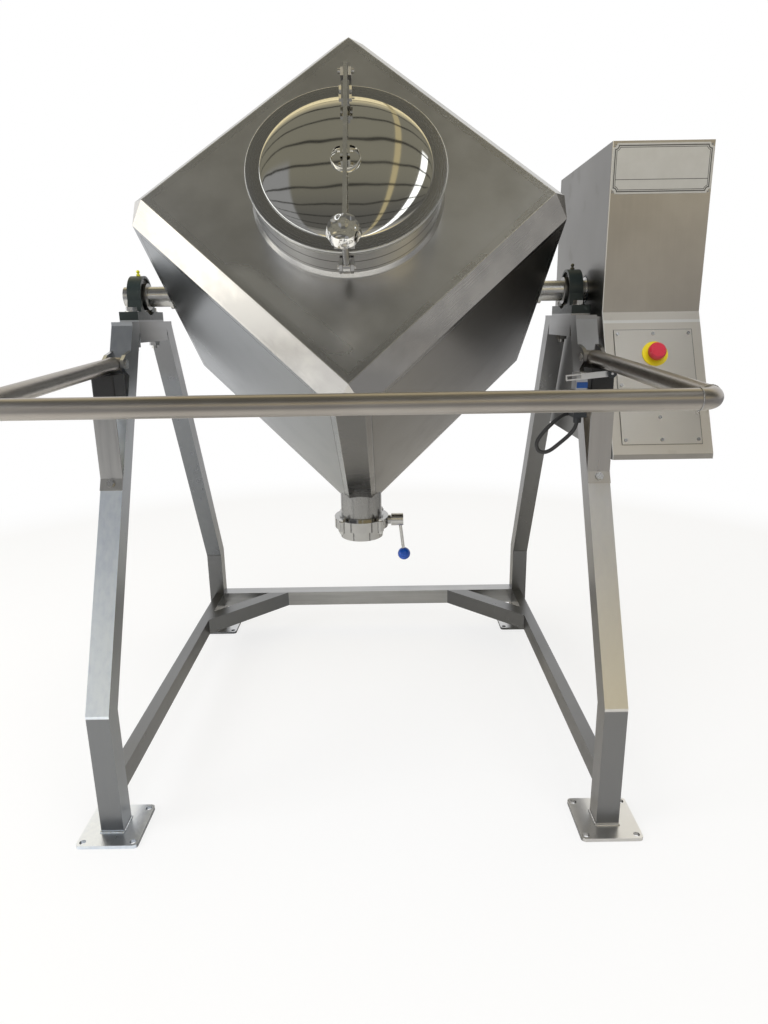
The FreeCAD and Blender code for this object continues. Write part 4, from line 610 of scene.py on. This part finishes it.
# the lid: a rolled rim, a turned ring and an elliptical crown with a cup for the arm
def manhole_lid():
    bm = bmesh.new()
    plate_low, plate_top, rim, crown, rise, sheet = 0.428, 0.436, 0.202, 0.173, 0.019, 0.003

    def crown_height(radius, lift=rise):
        return plate_top + lift * (1 - (radius / crown) ** 2) ** 0.7

    steps = 46
    radii = [0.0004 + (crown - 0.0004) * (1 - (1 - k / steps) ** 1.7) for k in range(steps + 1)]
    top = [(r, crown_height(min(r, crown))) for r in radii]
    edge = [(rim - 0.003 + 0.003 * math.sin(a), plate_top - 0.003 + 0.003 * math.cos(a))
            for a in (math.pi / 2 * k / 5 for k in range(6))]
    edge += [(rim, plate_low + 0.001), (rim - 0.001, plate_low)]
    under = [(crown - 0.004, plate_low)] + [(r, crown_height(r) - sheet) for r in radii[-8::-4]]
    revolve(bm, top + edge + under, LID)
    cup_out, cup_in, cup_low, cup_top = 0.0305, 0.0275, crown_height(0.030) - 0.001, 0.461
    revolve(bm, [(cup_in, cup_low), (cup_out, cup_low), (cup_out, cup_top - 0.001), (cup_out - 0.0007, cup_top),
                 (cup_in + 0.0007, cup_top), (cup_in, cup_top - 0.001)], LID, 64)
    for side in (-1, 1):
        inner, outer = sorted((side * 0.0045, side * 0.0095))
        block(bm, (inner, -0.014, 0.452), (outer, 0.014, 0.481), LID)
    pin_turn = LID @ Matrix.Translation((-0.015, 0, 0.4731)) @ Matrix.Rotation(math.pi / 2, 4, "Y")
    revolve(bm, [(0.0002, 0), (0.004, 0), (0.004, 0.030), (0.0002, 0.030)], pin_turn, 24)
    lid = add_piece("lid_crown", from_bmesh("lid_crown", bm), "lid", "polished_steel", lid_sheet("lid_sheet"))
    sharp_by_angle(lid)
    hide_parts("manhole_lid")


manhole_lid()


# weld rings round the guard's elbows
def ring_weld(name, centre, axis, radius, body, bead=0.0013):
    axis = Vector(axis).normalized()
    side = axis.orthogonal().normalized()
    up = axis.cross(side)
    count = 40
    points = [tuple(Vector(centre) + (side * math.cos(a) + up * math.sin(a)) * radius)
              for a in (2 * math.pi * k / count for k in range(count))]
    weld_bead(name, points, bead, body)


def guard_welds():
    slope, splay, arm, bend, reach, tube = math.radians(2.6), math.radians(0.8), 0.551, 0.028, 0.622, 0.0165
    guard = Matrix.Translation((0, -0.233, 1.011)) @ Matrix.Rotation(slope, 4, "X")
    straight = (reach - bend - bend * math.sin(splay)) / math.cos(splay)
    middle = arm + straight * math.sin(splay) - bend * math.cos(splay)
    turn = guard.to_3x3()
    for side in (-1, 1):
        ring_weld(f"elbow_weld_front_{side + 1}", guard @ Vector((side * middle, -reach, 0)),
                  turn @ Vector((1, 0, 0)), tube, "guard")
        ring_weld(f"elbow_weld_arm_{side + 1}",
                  guard @ Vector((side * (arm + straight * math.sin(splay)), -straight * math.cos(splay), 0)),
                  turn @ Vector((side * math.sin(splay), -math.cos(splay), 0)), tube, "guard")


guard_welds()


# a bare blue label on the switch's head
def switch_label():
    bm = bmesh.new()
    block(bm, (0.4905, -0.3342, 0.9495), (0.5145, -0.3329, 0.9625), Matrix.Identity(4))
    bmesh.ops.bevel(bm, geom=bm.edges[:], offset=0.0004, segments=2, affect="EDGES")
    blue = moulded("label_blue", (0.012, 0.07, 0.27), 0.35)
    add_piece("switch_label", from_bmesh("switch_label", bm), "stand", "switch_plastic", blue)


switch_label()


# a bare plate with notched corners and rivets on the cabinet's front
def name_plate():
    bm = bmesh.new()
    left, right, low, high, notch, thick = 0.5885, 0.8145, 1.367, 1.472, 0.009, 0.0012
    corners = []
    for x, z, dx, dz in ((left, low, 1, 1), (right, low, -1, 1), (right, high, -1, -1), (left, high, 1, -1)):
        arc = [(x + dx * notch * math.cos(a), z + dz * notch * math.sin(a))
               for a in (math.pi / 2 * k / 4 for k in range(5))]
        corners += arc if (dx, dz) in ((-1, 1), (1, -1)) else arc[::-1]
    front = -0.163 - thick
    face = bm.faces.new([bm.verts.new((x, front, z)) for x, z in corners])
    bmesh.ops.inset_individual(bm, faces=[face], thickness=0.0025, depth=0)
    solid = bmesh.ops.extrude_face_region(bm, geom=bm.faces[:])
    bmesh.ops.translate(bm, verts=[v for v in solid["geom"] if isinstance(v, bmesh.types.BMVert)],
                        vec=(0, thick * 0.98, 0))
    plate = Finish("name_plate_sheet")
    haze = plate.noise(40, 4)
    beside = abs(plate.along((1, 0, 0)) - (left + right) / 2) - ((right - left) / 2 - 0.005)
    above = abs(plate.along((0, 0, 1)) - (low + high) / 2) - ((high - low) / 2 - 0.005)
    corner = plate.node("ShaderNodeMath", {"operation": "SQRT"}, {0: beside * beside + above * above})
    outline = beside.most(above).most(0.008 - corner)
    lines = outline.band(0, 0.0010, 0.0005) + outline.band(-0.0036, 0.0005, 0.0004)
    divider = plate.along((0, 0, 1)).band(low + 0.030, 0.0005, 0.0004) * plate.ramped(outline, -0.0036, -0.0040)
    silver = plate.blend(haze, (0.55, 0.55, 0.54), (0.64, 0.64, 0.63))
    silver = plate.blend((lines + divider) * 0.85, silver, (0.03, 0.03, 0.03))
    sheet = plate.done(color=silver, metallic=0.6, roughness=0.32 + haze * 0.1, normal=plate.bump(haze, 0.03, 0.0005))
    add_piece("name_plate", from_bmesh("name_plate", bm), "stand", "cabinet_steel", sheet)
    rivets = bmesh.new()
    inset = 0.0042
    for x in (left + inset, right - inset):
        for z in (low + inset, high - inset):
            seat = Matrix.Translation((x, front + 0.0001, z)) @ Matrix.Rotation(math.pi / 2, 4, "X")
            dome = [(0.0020 * math.cos(a), 0.0011 * math.sin(a)) for a in (math.pi / 2 * k / 5 for k in range(6))]
            revolve(rivets, [(0.0001, -0.0001), (0.0020, -0.0001)] + dome[:-1] + [(0.0001, 0.0011)], seat, 20)
    add_piece("name_plate_rivets", from_bmesh("name_plate_rivets", rivets), "stand", "machined_steel", smooth=True)


name_plate()


# stage and light
def make_floor():
    mesh = bpy.data.meshes.new("floor")
    mesh.from_pydata([(-30, -30, 0), (30, -30, 0), (30, 30, 0), (-30, 30, 0)], [], [(0, 1, 2, 3)])
    floor = bpy.data.objects.new("floor", mesh)
    bpy.context.scene.collection.objects.link(floor)
    pale = Finish("floor_pale")
    pale.done(color=(0.90, 0.90, 0.90), roughness=0.9)
    across = pale.along((1, 0, 0))
    away = pale.along((0, 1, 0))
    distance = pale.node("ShaderNodeMath", {"operation": "SQRT"}, {0: across * across + away * away})
    seen = pale.node("ShaderNodeLightPath", {}, {}, "Is Camera Ray")
    behind = pale.ramped(away - across * 1.6, -0.4, 0.8)
    hall_floor = pale.node("ShaderNodeEmission", {}, {"Color": (0.37, 0.372, 0.38, 1), "Strength": 1.0})
    white = pale.node("ShaderNodeEmission", {}, {"Color": (1, 1, 1, 1), "Strength": 1.0})
    glow = pale.node("ShaderNodeMixShader", {}, {0: seen.most(behind), 1: hall_floor, 2: white})
    surface = Reading(pale, pale.shader.outputs["BSDF"])
    lift = pale.ramped(distance, 1.2, 3.2).most(seen * 0.76)
    blend = pale.node("ShaderNodeMixShader", {}, {0: lift, 1: surface, 2: glow})
    pale.tree.links.new(blend.socket, pale.tree.nodes["Material Output"].inputs["Surface"])
    mesh.materials.append(pale.material)


def make_world():
    """White where the camera looks, and a dimmer hall with roof beams for the metal to mirror."""
    world = bpy.data.worlds.new("studio")
    bpy.context.scene.world = world
    hall = Finish.__new__(Finish)
    world.use_nodes = True
    hall.tree = world.node_tree
    background = hall.tree.nodes["Background"]
    hall.place = hall.node("ShaderNodeTexCoord", {}, {}, "Generated")
    ahead = hall.ramped(hall.along((0, 1, 0)), -0.1, 0.4)
    height = hall.along((0, 0, 1))
    roof = hall.ramped(height, 0.16, 0.24)
    up = height.most(0.05)
    back = hall.along((0, -1, 0)) / up
    across = hall.along((1, 0, 0)) / up
    row = hall.node("ShaderNodeMath", {"operation": "PINGPONG"}, {0: back + (hall.noise(3.0, 2) - 0.5) * 0.12, 1: 0.070})
    purlin = hall.ramped(row, 0.011, 0.005) * hall.ramped(back, 1.8, 1.3)
    rafter = across.band(0.175, 0.013, 0.006)
    skylight = across.band(0.405, 0.048, 0.010) * hall.ramped(back, 0.10, 0.14)
    strip_light = across.band(-1.15, 0.10, 0.02)
    sheet = hall.blend(hall.ramped(back, 0.25, 0.75), (0.225, 0.216, 0.178), (0.115, 0.113, 0.107))
    sheet = hall.blend(hall.ramped(back, 0.95, 1.25), sheet, (0.36, 0.355, 0.34))
    sheet = hall.blend(hall.ramped(back, 1.7, 2.1), sheet, (0.85, 0.72, 0.42))
    sheet = hall.blend(hall.ramped(back, -0.12, -0.36), sheet, (1.05, 0.92, 0.60))
    sector = hall.ramped(across + back * 0.25, -0.22, -0.25) * hall.ramped(back, 0.20, 0.30)
    sheet = hall.blend(sector, sheet, (0.30, 0.305, 0.32))
    sheet = hall.blend(rafter, sheet, (0.50, 0.43, 0.26))
    sheet = hall.blend(skylight, sheet, (1.9, 1.95, 2.0))
    sheet = hall.blend(purlin * 0.97, sheet, (0.03, 0.029, 0.027))
    sheet = hall.blend(strip_light, sheet, (1.9, 1.95, 2.0))
    window = hall.facing_way((-0.93, -0.36, 0.02), 0.78, 0.93)
    wall = hall.blend(window, (0.46, 0.455, 0.45), (2.3, 2.25, 2.1))
    dim = hall.blend(roof, wall, sheet)
    white = ahead * (1 - hall.ramped(height, 0.5, 0.8))
    seen = hall.node("ShaderNodeLightPath", {}, {}, "Is Camera Ray")
    shade = hall.blend(white.most(seen), dim, (1.0, 1.0, 1.0))
    hall.tree.links.new(shade.socket, background.inputs["Color"])
    background.inputs["Strength"].default_value = 1.0


def area_light(name, place, target, width, height, watts, mirrored=False):
    data = bpy.data.lights.new(name, "AREA")
    data.shape = "RECTANGLE"
    data.size = width
    data.size_y = height
    data.energy = watts
    light = bpy.data.objects.new(name, data)
    bpy.context.scene.collection.objects.link(light)
    direction = Vector(target) - Vector(place)
    light.matrix_world = Matrix.Translation(place) @ direction.to_track_quat("-Z", "Y").to_matrix().to_4x4()
    light.visible_glossy = mirrored
    return light


make_floor()
make_world()
area_light("left_window", (-3.4, -1.6, 2.4), (0, 0, 0.9), 1.6, 2.4, 60)
area_light("overhead", (0.2, -1.2, 4.2), (0, 0, 0.6), 3.0, 3.0, 90)
bpy.context.scene.view_settings.view_transform = "Standard"
